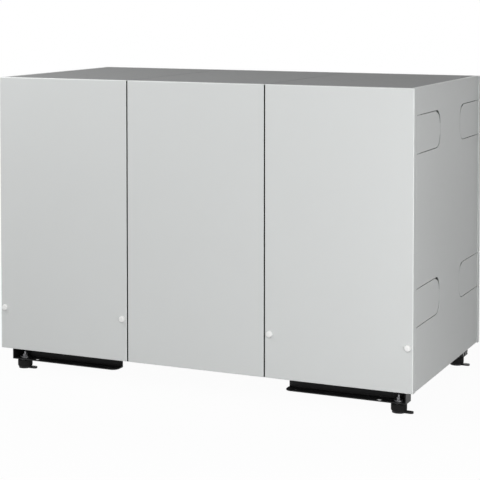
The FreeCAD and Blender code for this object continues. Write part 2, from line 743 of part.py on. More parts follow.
def base_rail(name, rounded_ends):
    """The front rail: web, top flange with the pans' ledge, and lower flanges under the outer bays."""
    low = (RAIL_LOW, f"{RAIL_LOW} + rail_sheet")
    pieces = [
        block(name + "_web", (f"-{RAIL_END}", RAIL_END), (WEB_OUTER, WEB_INNER), (RAIL_LOW, "rail_top")),
        block(name + "_top", (f"-{POST_OUTER}", POST_OUTER), (RAIL_OUTER, LEDGE_END),
              ("rail_top - rail_sheet", "rail_top")),
    ]
    for sign, tag in ((-1, "left"), (1, "right")):
        ends = sorted([f"{sign} * ({NOTCH_END} + rail_corner_round)", f"{sign} * {RAIL_END}"], key=number)
        inner = sorted([f"{sign} * {NOTCH_END}", f"{sign} * ({NOTCH_END} + rail_corner_round)"], key=number)
        plate = sorted([f"{sign} * ({RAIL_END} - rail_sheet)", f"{sign} * {RAIL_END}"], key=number)
        pieces.append(block(f"{name}_flange_{tag}", ends, (RAIL_OUTER, WEB_INNER), low))
        pieces.append(block(f"{name}_inner_{tag}", inner, (f"{RAIL_OUTER} + rail_corner_round", WEB_INNER),
                            low))
        pieces.append(rod(f"{name}_corner_{tag}", "2 * rail_corner_round", "rail_sheet",
                          f"{sign} * ({NOTCH_END} + rail_corner_round)",
                          f"{RAIL_OUTER} + rail_corner_round", RAIL_LOW))
        if rounded_ends:
            pieces.append(rounded_strip(f"{name}_end_{tag}", plate, RAIL_OUTER, WEB_INNER, RAIL_LOW,
                                        "rail_top", "end_round", "low"))
        else:
            pieces.append(block(f"{name}_end_{tag}", plate, (RAIL_OUTER, WEB_INNER), (RAIL_LOW, "rail_top")))
    return fuse(name + "_folded", pieces)


def rail_openings(name, rounded_ends):
    """The raised middle, the lower flanges' holes, and the end plates' holes and reliefs."""
    openings = [block(name + "_notch", (f"-{NOTCH_END}", NOTCH_END),
                      (f"{RAIL_OUTER} - 1", f"{WEB_INNER} + 1"), (f"{RAIL_LOW} - 1", "rail_notch_top"))]
    below = f"{RAIL_LOW} - rail_sheet"
    half = "(slot_length - slot_width) / 2"
    for sign, tag in ((-1, "left"), (1, "right")):
        openings.append(rod(f"{name}_stud_hole_{tag}", "foot_stud_dia + 2 * bolt_clearance", "3 * rail_sheet",
                            f"{sign} * {FOOT_X}", FOOT_FRONT, below))
        openings.append(rod(f"{name}_small_hole_{tag}", "flange_hole_dia", "3 * rail_sheet",
                            f"{sign} * ({NOTCH_END} + flange_hole_inset)", HOLE_Y, below))
        middle = f"{sign} * ({RAIL_END} - slot_inset)"
        slot = [block(f"{name}_slot_{tag}", (f"{middle} - {half}", f"{middle} + {half}"),
                      (f"{HOLE_Y} - slot_width / 2", f"{HOLE_Y} + slot_width / 2"),
                      (below, f"{RAIL_LOW} + 2 * rail_sheet"))]
        for end, end_sign in (("low", "-"), ("high", "+")):
            slot.append(rod(f"{name}_slot_{tag}_{end}", "slot_width", "3 * rail_sheet",
                            f"{middle} {end_sign} {half}", HOLE_Y, below))
        openings.append(fuse(f"{name}_slot_opening_{tag}", slot))
        if rounded_ends:
            plate = sorted([f"{sign} * ({RAIL_END} - rail_sheet)", f"{sign} * ({RAIL_END} + 1)"], key=number)
            openings.append(block(f"{name}_relief_{tag}", plate,
                                  (f"{WEB_OUTER} - relief_width", f"{WEB_INNER} + 1"),
                                  (f"{RAIL_LOW} + rail_sheet", f"{RAIL_LOW} + rail_sheet + relief_height")))
    if rounded_ends:
        openings.append(rod(f"{name}_end_holes", "end_hole_dia", f"2 * {RAIL_END} + 2", f"-{RAIL_END} - 1",
                            END_HOLE_Y, f"{RAIL_LOW} + end_round + end_hole_dia", "X"))
    return openings


keep(cut("front_base_rail", base_rail("front_rail", False), rail_openings("front_rail", False)),
     "front_base_rail")
rear_source = cut("rear_rail_source", base_rail("rear_rail", True), rail_openings("rear_rail", True))
rear_rail = doc.addObject("Part::Mirroring", "rear_base_rail")
rear_rail.Source = rear_source
rear_rail.Normal = Vector(0, 1, 0)
bind(rear_rail, **{"Base.y": MIDDLE_Y})
keep(rear_rail, "rear_base_rail")

BEAM_X = f"({RAIL_END} - beam_inset)"
beam_y = (LEDGE_END, f"2 * {MIDDLE_Y} - {LEDGE_END}")
beams = []
for index, middle in enumerate((f"-{BEAM_X}", f"-{MODULE} / 2", f"{MODULE} / 2", BEAM_X), start=1):
    outside = block(f"beam_{index}_outside", (f"{middle} - beam_width / 2", f"{middle} + beam_width / 2"),
                    beam_y, ("rail_top - beam_drop", "rail_top"))
    hollow = block(f"beam_{index}_hollow",
                   (f"{middle} - beam_width / 2 + beam_wall", f"{middle} + beam_width / 2 - beam_wall"),
                   (f"{beam_y[0]} - 1", f"{beam_y[1]} + 1"),
                   ("rail_top - beam_drop - 1", "rail_top - beam_wall"))
    beams.append(cut(f"beam_{index}", outside, [hollow]))
keep(group("beams", beams), "base_cross_members")

pan_y = (f"{WEB_INNER} + pan_gap", f"2 * {MIDDLE_Y} - {WEB_INNER} - pan_gap")
pan_seam = f"{MODULE} / 2 + pan_gap / 2"
pan_z = ("rail_top", "rail_top + pan_rim")
pan_right = folded_panel("pan_right", (pan_seam, f"{SIDE} - side_flange - post_width"), pan_y, pan_z, "+z",
                         "pan_sheet", "pan_sheet")
keep(pan_right, "floor_pan_right")
keep(mirror("pan_left", pan_right), "floor_pan_left")
keep(folded_panel("pan_middle", (f"-({pan_seam}) + pan_gap", f"{pan_seam} - pan_gap"), pan_y, pan_z, "+z",
                  "pan_sheet", "pan_sheet"), "floor_pan_middle")


# Vibration mounts: a bolted-down plate with an ear, a rubber puck, and a cap with the stud

FEET = [("front_left", f"-{FOOT_X}", FOOT_FRONT), ("front_right", FOOT_X, FOOT_FRONT),
        ("back_left", f"-{FOOT_X}", FOOT_BACK), ("back_right", FOOT_X, FOOT_BACK)]
CAP_LOW = f"({RAIL_LOW} - cap_thick)"
WASHER_LOW = f"({RAIL_LOW} + rail_sheet)"


def foot_plate(name, x, y):
    tip_x = f"{x} + ear_reach - ear_width / 2"
    disc = rod(name + "_disc", "plate_dia", "plate_thick", x, y, 0)
    ear = block(name + "_ear", (x, tip_x), (f"{y} - ear_width / 2", f"{y} + ear_width / 2"),
                (0, "plate_thick"))
    tip = rod(name + "_tip", "ear_width", "plate_thick", tip_x, y, 0)
    hole = rod(name + "_hole", "ear_hole_dia", "plate_thick + 2", f"{x} + ear_hole_reach", y, -1)
    return cut(name, fuse(name + "_solid", [disc, ear, tip]), [hole])


def foot_rubber(name, x, y):
    height = f"{CAP_LOW} - plate_thick"
    puck = turned(name, [(0, 0), ("rubber_dia / 2", 0), ("rubber_dia / 2", height), (0, height)],
                  x, y, "plate_thick")
    round_edges(puck, name + "_rounding", "rubber_round",
                lambda edge: edge.Curve.TypeId == "Part::GeomCircle")
    return puck


def foot_stud(name, x, y):
    cap = rod(name + "_cap", "cap_dia", "cap_thick", x, y, CAP_LOW)
    shank = rod(name + "_shank", "foot_stud_dia", f"foot_stud_top - {CAP_LOW}", x, y, CAP_LOW)
    washer = rod(name + "_washer", "foot_washer_dia", "foot_washer_thick", x, y, WASHER_LOW)
    nut = doc.addObject("Part::Prism", name + "_nut")
    nut.Polygon = 6
    bind(nut, Circumradius=f"foot_nut_across / {HEX_FLATS}", Height="foot_nut_thick")
    place(nut, x, y, f"{WASHER_LOW} + foot_washer_thick")
    return fuse(name, [cap, shank, washer, nut])


plates = [foot_plate(f"plate_{tag}", x, y) for tag, x, y in FEET]
rubbers = [foot_rubber(f"rubber_{tag}", x, y) for tag, x, y in FEET]
studs = [foot_stud(f"stud_{tag}", x, y) for tag, x, y in FEET]
keep(group("plates", plates), "foot_plates")
keep(group("rubbers", rubbers), "foot_rubbers")
keep(group("foot_stud_set", studs), "foot_studs")


# Rubber bushings in the cable holes

bushings = []
for index in (-1, 1):
    x = f"{index} * cable_hole_pitch"
    sleeve = rod(f"bushing_{index}_sleeve", "cable_hole_dia", "3 * sheet", x, f"{BACK} - 3 * sheet",
                 CABLE_Z, "Y")
    rim = rod(f"bushing_{index}_rim", "cable_hole_dia + 2 * bushing_rim", "2 * sheet", x,
              f"{BACK} - 3 * sheet", CABLE_Z, "Y")
    bore = rod(f"bushing_{index}_bore", "cable_hole_dia - 2 * bushing_wall", "5 * sheet", x,
               f"{BACK} - 4 * sheet", CABLE_Z, "Y")
    bushings.append(cut(f"bushing_{index}", fuse(f"bushing_{index}_solid", [sleeve, rim]), [bore]))
keep(group("bushings", bushings), "cable_bushings")


# Compressors on rubber grommets

COMP_FIRST = f"({SIDE} - comp_side_gap)"
COMP_X = {"left": f"(-{COMP_FIRST})", "right": f"(comp_pitch - {COMP_FIRST})"}
COMP_Y = f"({FRONT} + comp_behind)"
COMP_LOW = f"({PAN_TOP} + comp_base_gap + comp_plate_thick)"
COMP_TOP = f"({COMP_LOW} + comp_height)"
STUB_TOP = f"({COMP_TOP} + discharge_stub_height)"
SUCTION_Z = f"({COMP_LOW} + suction_stub_height)"
SHELL_BACK = f"({COMP_Y} + comp_dia / 2)"
bolt_places = [(f"{x} {a} comp_bolt_pitch / 2", f"{COMP_Y} {b} comp_bolt_pitch / 2", f"{side}_{i}")
               for side, x in COMP_X.items() for i, (a, b) in enumerate(("--", "+-", "-+", "++"), start=1)]


def compressor(side, x):
    shell = turned(f"shell_{side}", [
        (0, 0), ("comp_dia / 2", 0), ("comp_dia / 2", "comp_seam_height"),
        ("comp_dia / 2 + comp_seam_proud", "comp_seam_height + comp_seam_proud"),
        ("comp_dia / 2 + comp_seam_proud", "comp_seam_height + 3 * comp_seam_proud"),
        ("comp_dia / 2", "comp_seam_height + 4 * comp_seam_proud"), ("comp_dia / 2", "comp_height"),
        (0, "comp_height")], x, COMP_Y, COMP_LOW)
    top_level = number("comp_height")
    round_edges(shell, f"shell_{side}_dome", "comp_dome",
                lambda edge: all(abs(v.Point.z - top_level) < 1e-6 for v in edge.Vertexes)
                and edge.Curve.TypeId == "Part::GeomCircle")
    round_edges(shell, f"shell_{side}_base", "comp_dome / 3",
                lambda edge: all(abs(v.Point.z) < 1e-6 for v in edge.Vertexes)
                and edge.Curve.TypeId == "Part::GeomCircle")
    plate = block(f"plate_{side}", (f"{x} - comp_plate / 2", f"{x} + comp_plate / 2"),
                  (f"{COMP_Y} - comp_plate / 2", f"{COMP_Y} + comp_plate / 2"),
                  (f"{COMP_LOW} - comp_plate_thick", COMP_LOW))
    holes = [rod(f"plate_hole_{tag}", "grommet_neck_dia + bolt_clearance", "3 * comp_plate_thick", px, py,
                 f"{COMP_LOW} - 2 * comp_plate_thick") for px, py, tag in bolt_places if tag.startswith(side)]
    suction = rod(f"suction_stub_{side}", "suction_stub_dia", "comp_dia / 4 + suction_stub_length", x,
                  f"{COMP_Y} + comp_dia / 4", SUCTION_Z, "Y")
    discharge = rod(f"discharge_stub_{side}", "discharge_stub_dia", "discharge_stub_height + comp_dome / 2",
                    x, COMP_Y, f"{COMP_TOP} - comp_dome / 2")
    drilled = cut(f"plate_{side}_drilled", plate, holes)
    return fuse(f"compressor_{side}_parts", [shell, drilled, suction, discharge])


for side, x in COMP_X.items():
    keep(compressor(side, x), f"compressor_{side}")

boxes = []
for side, x in COMP_X.items():
    body = doc.addObject("PartDesign::Body", f"term_{side}_body")
    face = f"{COMP_Y} - comp_dia / 2 - term_depth"
    low = f"{COMP_LOW} + term_low"
    block(f"term_{side}_case", (f"{x} - term_width / 2", f"{x} + term_width / 2"),
          (face, f"{COMP_Y} - comp_dia / 4"), (low, f"{low} + term_height"), "PartDesign::AdditiveBox", body)
    doc.recompute()
    level = number(face)
    round_edges(body, f"term_{side}_rounding", "2 * bend_round",
                lambda edge: all(abs(v.Point.y - level) < 1e-6 for v in edge.Vertexes))
    bore = rod(f"term_{side}_seat", "comp_dia + 2 * seat_gap", "3 * term_height", x, COMP_Y,
               f"{low} - term_height")
    boxes.append(cut(f"term_{side}", body, [bore]))
keep(group("terminal_boxes", boxes), "compressor_terminal_boxes")

grommets = []
bolts = []
for x, y, tag in bolt_places:
    bore = "(comp_bolt_dia + bolt_clearance) / 2"
    top = "comp_base_gap + comp_plate_thick + comp_base_gap / 3"
    grommets.append(turned(f"grommet_{tag}", [
        (bore, 0), ("grommet_dia / 2", 0), ("grommet_dia / 2", "comp_base_gap"),
        ("grommet_neck_dia / 2", "comp_base_gap"),
        ("grommet_neck_dia / 2", "comp_base_gap + comp_plate_thick"),
        ("grommet_dia / 2", "comp_base_gap + comp_plate_thick"), ("grommet_dia / 2", top), (bore, top)],
        x, y, PAN_TOP))
    shank = rod(f"bolt_{tag}_shank", "comp_bolt_dia", f"{top} + comp_bolt_reach", x, y, PAN_TOP)
    washer = rod(f"bolt_{tag}_washer", "comp_washer_dia", "comp_washer_thick", x, y, f"{PAN_TOP} + {top}")
    nut = doc.addObject("Part::Prism", f"bolt_{tag}_nut")
    nut.Polygon = 6
    bind(nut, Circumradius=f"comp_nut_across / {HEX_FLATS}", Height="comp_nut_thick")
    place(nut, x, y, f"{PAN_TOP} + {top} + comp_washer_thick")
    bolts.append(fuse(f"bolt_{tag}", [shank, washer, nut]))
keep(group("grommets", grommets), "compressor_grommets")
keep(group("bolts", bolts), "compressor_bolts")


# Brazed plate heat exchangers

def rounded_rectangle(body, name, half_width, half_height, radius, offset=None):
    """A rectangle with round corners about the body's axis, in the plane of X and Z."""
    sketch = body.newObject("Sketcher::SketchObject", name)
    sketch.AttachmentSupport = [(origin_plane(body, "XZ_Plane"), "")]
    sketch.MapMode = "FlatFace"
    if offset:
        sketch.setExpression("AttachmentOffset.Base.z", formula(offset))
    w, h, r = number(half_width), number(half_height), number(radius)
    corners = [(w - r, -h + r, -90), (w - r, h - r, 0), (-w + r, h - r, 90), (-w + r, -h + r, 180)]
    ends = []
    for x, y, start in corners:
        circle = Part.Circle(Vector(x, y, 0), Vector(0, 0, 1), r)
        arc = Part.ArcOfCircle(circle, math.radians(start), math.radians(start + 90))
        sketch.addGeometry(arc)
        ends.append((arc.StartPoint, arc.EndPoint))
    for index in range(4):
        sketch.addGeometry(Part.LineSegment(ends[index][1], ends[(index + 1) % 4][0]))
    for index in range(4):
        sketch.addConstraint(Sketcher.Constraint("Tangent", index, 2, 4 + index, 1))
        sketch.addConstraint(Sketcher.Constraint("Tangent", 4 + index, 2, (index + 1) % 4, 1))
        sketch.addConstraint(Sketcher.Constraint("Horizontal" if index % 2 else "Vertical", 4 + index))
    for index in range(1, 4):
        sketch.addConstraint(Sketcher.Constraint("Equal", 0, index))
    held = sketch.addConstraint(Sketcher.Constraint("Radius", 0, r))
    sketch.setExpression(f"Constraints[{held}]", formula(radius))
    for kind, line, text in (("DistanceX", 4, half_width), ("DistanceY", 5, half_height),
                             ("DistanceX", 6, f"-({half_width})"), ("DistanceY", 7, f"-({half_height})")):
        held = sketch.addConstraint(Sketcher.Constraint(kind, -1, 1, line, 1, number(text)))
        sketch.setExpression(f"Constraints[{held}]", formula(text))
    return sketch


def pad(body, name, sketch, length):
    feature = body.newObject("PartDesign::Pad", name)
    feature.Profile = sketch
    bind(feature, Length=length)
    return feature


def exchanger(name, across):
    """A pack of pressed plates between two covers; ports in front for refrigerant and behind for water."""
    body = doc.addObject("PartDesign::Body", name + "_pack")
    full = ("hx_width / 2", "hx_height / 2", "hx_round")
    core = ("hx_width / 2 - hx_rib_inset", "hx_height / 2 - hx_rib_inset", "hx_round - hx_rib_inset")
    pad(body, name + "_core", rounded_rectangle(body, name + "_core_outline", *core), "hx_depth")
    pad(body, name + "_rear_cover", rounded_rectangle(body, name + "_rear_outline", *full), "hx_cover")
    pad(body, name + "_front_cover",
        rounded_rectangle(body, name + "_front_outline", *full, "hx_depth - hx_cover"), "hx_cover")
    rib_pitch = "(hx_depth - 2 * hx_cover) / (hx_plates + 1)"
    rib_sketch = rounded_rectangle(body, name + "_rib_outline", *full, f"hx_cover + {rib_pitch} - hx_rib / 2")
    rib = pad(body, name + "_rib", rib_sketch, "hx_rib")
    pattern = body.newObject("PartDesign::LinearPattern", name + "_ribs")
    pattern.Originals = [rib]
    pattern.Direction = (rib_sketch, ["N_Axis"])
    bind(pattern, Length=f"{rib_pitch} * (hx_plates - 1)", Occurrences="hx_plates")
    body.Tip = pattern
    place(body, across, HX_BACK, f"{HX_LOW} + hx_height / 2")
    pieces = [body]
    for level in PORT_Z:
        pieces.append(rod(f"{name}_front_port_{level}", "hx_port_dia", "hx_port_length",
                          f"{across} - hx_port_side", f"{HX_FRONT} - hx_port_length", PORT_Z[level], "Y"))
        pieces.append(rod(f"{name}_rear_port_{level}", "hx_port_dia", "hx_port_length",
                          f"{across} + hx_port_side", HX_BACK, PORT_Z[level], "Y"))
    for tag, sign in (("left", "-"), ("right", "+")):
        middle = f"{across} {sign} (hx_width / 2 - hx_round - hx_foot / 2)"
        pieces.append(block(f"{name}_foot_{tag}", (f"{middle} - hx_foot / 2", f"{middle} + hx_foot / 2"),
                            (HX_FRONT, HX_BACK), (PAN_TOP, f"{HX_LOW} + hx_cover")))
    return fuse(name + "_parts", pieces)


keep(exchanger("condenser", COND_X), "condenser")
keep(exchanger("evaporator", EVAP_X), "evaporator")


# Water and brine pipes from the exchangers' rear ports to sockets at the back panel

SOCKET_FACE = f"({BACK} - socket_recess)"
for name, (across, level) in WATER_PORTS.items():
    x = f"{across} + hx_port_side"
    z = PORT_Z[level]
    start = f"{HX_BACK} + hx_port_length"
    tube = rod(name + "_tube", "pipe_dia", f"{SOCKET_FACE} - ({start})", x, start, z, "Y")
    socket = rod(name + "_socket", "socket_dia", "socket_length", x, f"{SOCKET_FACE} - socket_length", z, "Y")
    nut = doc.addObject("Part::Prism", name + "_nut")
    nut.Polygon = 6
    bind(nut, Circumradius=f"union_across / {HEX_FLATS}", Height="union_length")
    place(nut, x, start, z, "Y")
    bore = rod(name + "_bore", "pipe_bore", f"{SOCKET_FACE} - ({start}) - union_length", x,
               f"{start} + union_length", z, "Y")
    mouth = rod(name + "_mouth", "socket_bore", "socket_depth + 1", x, f"{SOCKET_FACE} - socket_depth", z,
                "Y")
    solid = fuse(name + "_solid", [tube, socket, nut])
    keep(cut(name + "_bored", solid, [fuse(name + "_way", [bore, mouth])]), name)


# Refrigerant circuit

def bent_tube(name, route, dia, bend):
    """A tube along straight runs joined by tangent arcs of one radius."""
    points = [Vector(*(number(text) for text in point)) for point in route]
    radius = number(bend)
    edges = []
    start = points[0]
    for before, here, after in zip(points, points[1:], points[2:]):
        into = (here - before).normalize()
        out = (after - here).normalize()
        half_turn = into.getAngle(out) / 2
        setback = radius * math.tan(half_turn)
        inwards = (out - into).normalize()
        middle = here + inwards * (radius / math.cos(half_turn) - radius)
        edges.append(Part.LineSegment(start, here - into * setback).toShape())
        edges.append(Part.Arc(here - into * setback, middle, here + out * setback).toShape())
        start = here + out * setback
    edges.append(Part.LineSegment(start, points[-1]).toShape())
    section = Part.Wire(Part.Circle(points[0], points[1] - points[0], number(dia) / 2).toShape())
    tube = doc.addObject("Part::Feature", name)
    tube.Shape = Part.Wire(edges).makePipeShell([section], True, True)
    tube.Placement = FreeCAD.Placement()
    return tube


PORT_FACE = f"({HX_FRONT} - hx_port_length)"
COND_PORT = f"({COND_X} - hx_port_side)"
EVAP_PORT = f"({EVAP_X} - hx_port_side)"
HOT_Z = f"({STUB_TOP} + hot_rise)"
HOT_Y = f"({PORT_FACE} - hot_forward)"
hot = bent_tube("hot_gas_tube", [
    (COMP_X["left"], COMP_Y, STUB_TOP), (COMP_X["left"], COMP_Y, HOT_Z), (COND_PORT, COMP_Y, HOT_Z),
    (COND_PORT, HOT_Y, HOT_Z), (COND_PORT, HOT_Y, PORT_Z["high"]), (COND_PORT, PORT_FACE, PORT_Z["high"])],
    "hot_dia", "hot_bend")
branch = rod("hot_gas_branch", "hot_dia", "hot_rise", COMP_X["right"], COMP_Y, STUB_TOP)
keep(fuse("hot_gas", [hot, branch]), "discharge_line")

SUCTION_TOP = f"({STUB_TOP} + suction_rise)"
SUCTION_Y = f"({PORT_FACE} - suction_forward)"
HEADER_Y = f"({SHELL_BACK} + header_behind)"
MID_COMP = f"(comp_pitch / 2 - {COMP_FIRST})"
suction = bent_tube("suction_tube", [
    (EVAP_PORT, PORT_FACE, PORT_Z["high"]), (EVAP_PORT, SUCTION_Y, PORT_Z["high"]),
    (EVAP_PORT, SUCTION_Y, SUCTION_TOP), (MID_COMP, SUCTION_Y, SUCTION_TOP),
    (MID_COMP, HEADER_Y, SUCTION_TOP), (MID_COMP, HEADER_Y, SUCTION_Z)], "suction_dia", "suction_bend")
stub_end = f"{SHELL_BACK} + suction_stub_length"
header = bent_tube("suction_header", [
    (COMP_X["left"], stub_end, SUCTION_Z), (COMP_X["left"], HEADER_Y, SUCTION_Z),
    (COMP_X["right"], HEADER_Y, SUCTION_Z), (COMP_X["right"], stub_end, SUCTION_Z)],
    "header_dia", "header_bend")
keep(fuse("suction", [suction, header]), "suction_line")

NEAR_Y = f"({PORT_FACE} - liquid_near)"
FAR_Y = f"({PORT_FACE} - liquid_far)"
LOW_Z = PORT_Z["low"]
VALVE_X = f"({COND_X} + valve_past_cond)"
drier_high = "drier_across + drier_length / 2"
drier_low = "drier_across - drier_length / 2"
glass_high = "glass_length / 2 - glass_across"
glass_low = "-glass_across - glass_length / 2"
keep(group("liquid_tubes", [
    bent_tube("liquid_tube_1", [(COND_PORT, PORT_FACE, LOW_Z), (COND_PORT, NEAR_Y, LOW_Z),
                                (drier_high, NEAR_Y, LOW_Z)], "liquid_dia", "liquid_bend"),
    rod("liquid_tube_2", "liquid_dia", f"{drier_low} - ({glass_high})", glass_high, NEAR_Y, LOW_Z, "X"),
    bent_tube("liquid_tube_3", [(glass_low, NEAR_Y, LOW_Z), ("-liquid_turn", NEAR_Y, LOW_Z),
                                ("-liquid_turn", FAR_Y, LOW_Z),
                                (f"{VALVE_X} - valve_body / 2", FAR_Y, LOW_Z)],
              "liquid_dia", "liquid_bend")]), "liquid_line")
keep(bent_tube("injection_tube", [(f"{VALVE_X} + valve_body / 2", FAR_Y, LOW_Z), (EVAP_PORT, FAR_Y, LOW_Z),
                                  (EVAP_PORT, PORT_FACE, LOW_Z)], "liquid_dia", "liquid_bend"),
     "injection_line")

neck = "liquid_dia / 2 + braze_collar"
shoulder = "drier_dia / 2 - drier_shoulder_inset"
keep(turned("drier", [
    (0, 0), (neck, 0), (neck, "drier_neck"), (shoulder, "drier_neck + drier_shoulder_rise"),
    ("drier_dia / 2", "drier_neck + drier_shoulder"),
    ("drier_dia / 2", "drier_length - drier_neck - drier_shoulder"),
    (shoulder, "drier_length - drier_neck - drier_shoulder_rise"),
    (neck, "drier_length - drier_neck"), (neck, "drier_length"), (0, "drier_length")],
    drier_low, NEAR_Y, LOW_Z, "X"), "filter_drier")

glass_tube = rod("glass_tube", "liquid_dia + 2 * braze_collar", "glass_length", glass_low, NEAR_Y, LOW_Z, "X")
glass_body = rod("glass_body", "glass_dia", "glass_dia", "-glass_across", NEAR_Y, f"{LOW_Z} - glass_dia / 2")
glass_cap = rod("glass_cap", "glass_cap_dia", "glass_cap_thick", "-glass_across", NEAR_Y,
                f"{LOW_Z} + glass_dia / 2")
keep(fuse("glass", [glass_tube, glass_body, glass_cap]), "sight_glass")

valve_x = (f"{VALVE_X} - valve_body / 2", f"{VALVE_X} + valve_body / 2")
valve_block = block("valve_block", valve_x, (f"{FAR_Y} - valve_body / 2", f"{FAR_Y} + valve_body / 2"),
                    (f"{LOW_Z} - valve_body / 2", f"{LOW_Z} + valve_body / 2"))
valve_motor = turned("valve_motor", [
    (0, 0), ("valve_neck_dia / 2", 0), ("valve_neck_dia / 2", "valve_neck_height"),
    ("valve_motor_dia / 2", "valve_neck_height + valve_motor_edge"),
    ("valve_motor_dia / 2", "valve_motor_height - valve_motor_edge"),
    ("valve_motor_dia / 2 - valve_motor_edge", "valve_motor_height"), (0, "valve_motor_height")],
    VALVE_X, FAR_Y, f"{LOW_Z} + valve_body / 2")
keep(fuse("valve", [valve_block, valve_motor]), "expansion_valve")


# Electrical box on the front mullions, with its lid, switch and gear

ELEC_FACE = f"({FRONT} + elec_front)"
ELEC_BACK = f"({ELEC_FACE} + elec_depth)"
elec_z = ("elec_low", "elec_high")
tray = folded_panel("elec_tray", ("-elec_half_width", "elec_half_width"),
                    (f"{ELEC_FACE} + sheet", ELEC_BACK), elec_z, "-y", "elec_rim")
pieces = [tray]
EAR_Y = f"({FRAME_FRONT} + post_depth)"
for tag, sign in (("left", -1), ("right", 1)):
    ear_x = sorted([f"{sign} * (elec_half_width - sheet)", f"{sign} * ({MODULE} / 2 + mullion_width / 4)"],
                   key=number)
    for level, z in (("lower", "elec_low + elec_rim"), ("upper", "elec_high - 4 * elec_rim")):
        pieces.append(block(f"elec_ear_{tag}_{level}", ear_x, (EAR_Y, f"{EAR_Y} + 2 * sheet"),
                            (z, f"{z} + 3 * elec_rim")))
for tag, level in (("gear", "gear_row"), ("term", "term_row")):
    pieces.append(block(f"din_{tag}", ("elec_rim - elec_half_width", "elec_half_width - elec_rim"),
                        (f"{ELEC_BACK} - sheet - rail_din_depth", f"{ELEC_BACK} - sheet"),
                        (f"{level} - rail_din_height / 2", f"{level} + rail_din_height / 2")))
keep(fuse("elec_box", pieces), "electrical_box")

SWITCH_X = "(elec_half_width / 2)"
lid_side = "elec_half_width + sheet + seat_gap"
lid = folded_panel("elec_lid", (f"-({lid_side})", lid_side), (ELEC_FACE, f"{ELEC_FACE} + lid_return"),
                   ("elec_low - sheet - seat_gap", "elec_high + sheet + seat_gap"), "+y", "sheet")
legend = block("switch_plate", (f"{SWITCH_X} - switch_plate / 2", f"{SWITCH_X} + switch_plate / 2"),
               (f"{ELEC_FACE} - switch_plate_thick", ELEC_FACE),
               ("switch_height - switch_plate / 2", "switch_height + switch_plate / 2"))
isolator = block("isolator", (f"{SWITCH_X} - switch_hub_dia", f"{SWITCH_X} + switch_hub_dia"),
                 (f"{ELEC_FACE} + sheet", f"{ELEC_FACE} + sheet + switch_shaft_length"),
                 ("switch_height - switch_hub_dia", "switch_height + switch_hub_dia"))
shaft_hole = rod("shaft_hole", "switch_shaft_dia + switch_shaft_play", "2 * switch_shaft_length", SWITCH_X,
                 f"{ELEC_FACE} - 2 * switch_plate_thick", "switch_height", "Y")
keep(cut("elec_cover", fuse("elec_cover_solid", [lid, legend, isolator]), [shaft_hole]), "electrical_cover")

hub_face = f"{ELEC_FACE} - switch_plate_thick - seat_gap - switch_hub_depth"
hub = rod("switch_hub", "switch_hub_dia", "switch_hub_depth", SWITCH_X, hub_face, "switch_height", "Y")
grip = block("switch_grip", (f"{SWITCH_X} - switch_grip_width / 2", f"{SWITCH_X} + switch_grip_width / 2"),
             (f"{hub_face} - switch_grip_depth", hub_face),
             ("switch_height - switch_grip_length / 2", "switch_height + switch_grip_length / 2"))
shaft = rod("switch_shaft", "switch_shaft_dia", "switch_shaft_length", SWITCH_X, hub_face, "switch_height",
            "Y")
keep(fuse("switch", [hub, grip, shaft]), "main_switch")

gear_back = f"({ELEC_BACK} - sheet - rail_din_depth)"
gear = []
for index in range(-2, 3):
    middle = f"{index} * gear_pitch"
    gear_x = (f"{middle} - gear_width / 2", f"{middle} + gear_width / 2")
    low = block(f"gear_{index}_base", gear_x, (f"{gear_back} - gear_depth + gear_step", gear_back),
                ("gear_row - gear_height / 2", "gear_row + gear_height / 2"))
    top = block(f"gear_{index}_top", gear_x, (f"{gear_back} - gear_depth", gear_back),
                ("gear_row - gear_height / 4", "gear_row + gear_height / 4"))
    gear.append(fuse(f"gear_{index}", [low, top]))
keep(group("gear", gear), "contactors")
blocks = [block(f"terminal_{index}",
                (f"{index} * block_pitch - block_width / 2", f"{index} * block_pitch + block_width / 2"),
                (f"{gear_back} - block_depth", gear_back),
                ("term_row - block_height / 2", "term_row + block_height / 2"))
          for index in range(-9, 10)]
keep(group("terminals", blocks), "terminal_blocks")


# Checking and writing

def write_parts():
    doc.recompute()
    failed = [item.Label for item in doc.Objects if "Invalid" in item.State or "Error" in item.State]
    if failed:
        raise RuntimeError(f"features failed: {failed}")
    os.makedirs("parts", exist_ok=True)
    for piece in parts:
        shape = piece.Shape
        if shape.isNull() or not shape.isValid() or not shape.Solids:
            raise RuntimeError(f"{piece.Label} has no valid solid")
        shape.exportStep(f"parts/{piece.Label}.step")
        print(piece.Label, len(shape.Solids), round(shape.Volume))


write_parts()
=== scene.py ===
"""The looks of a ground source heat pump: finishes, soft and small pieces, floor, light and camera.

Metres, +X to the right seen from the front, +Y to the back, +Z up, origin on the floor under the middle.
"""

import json
import math

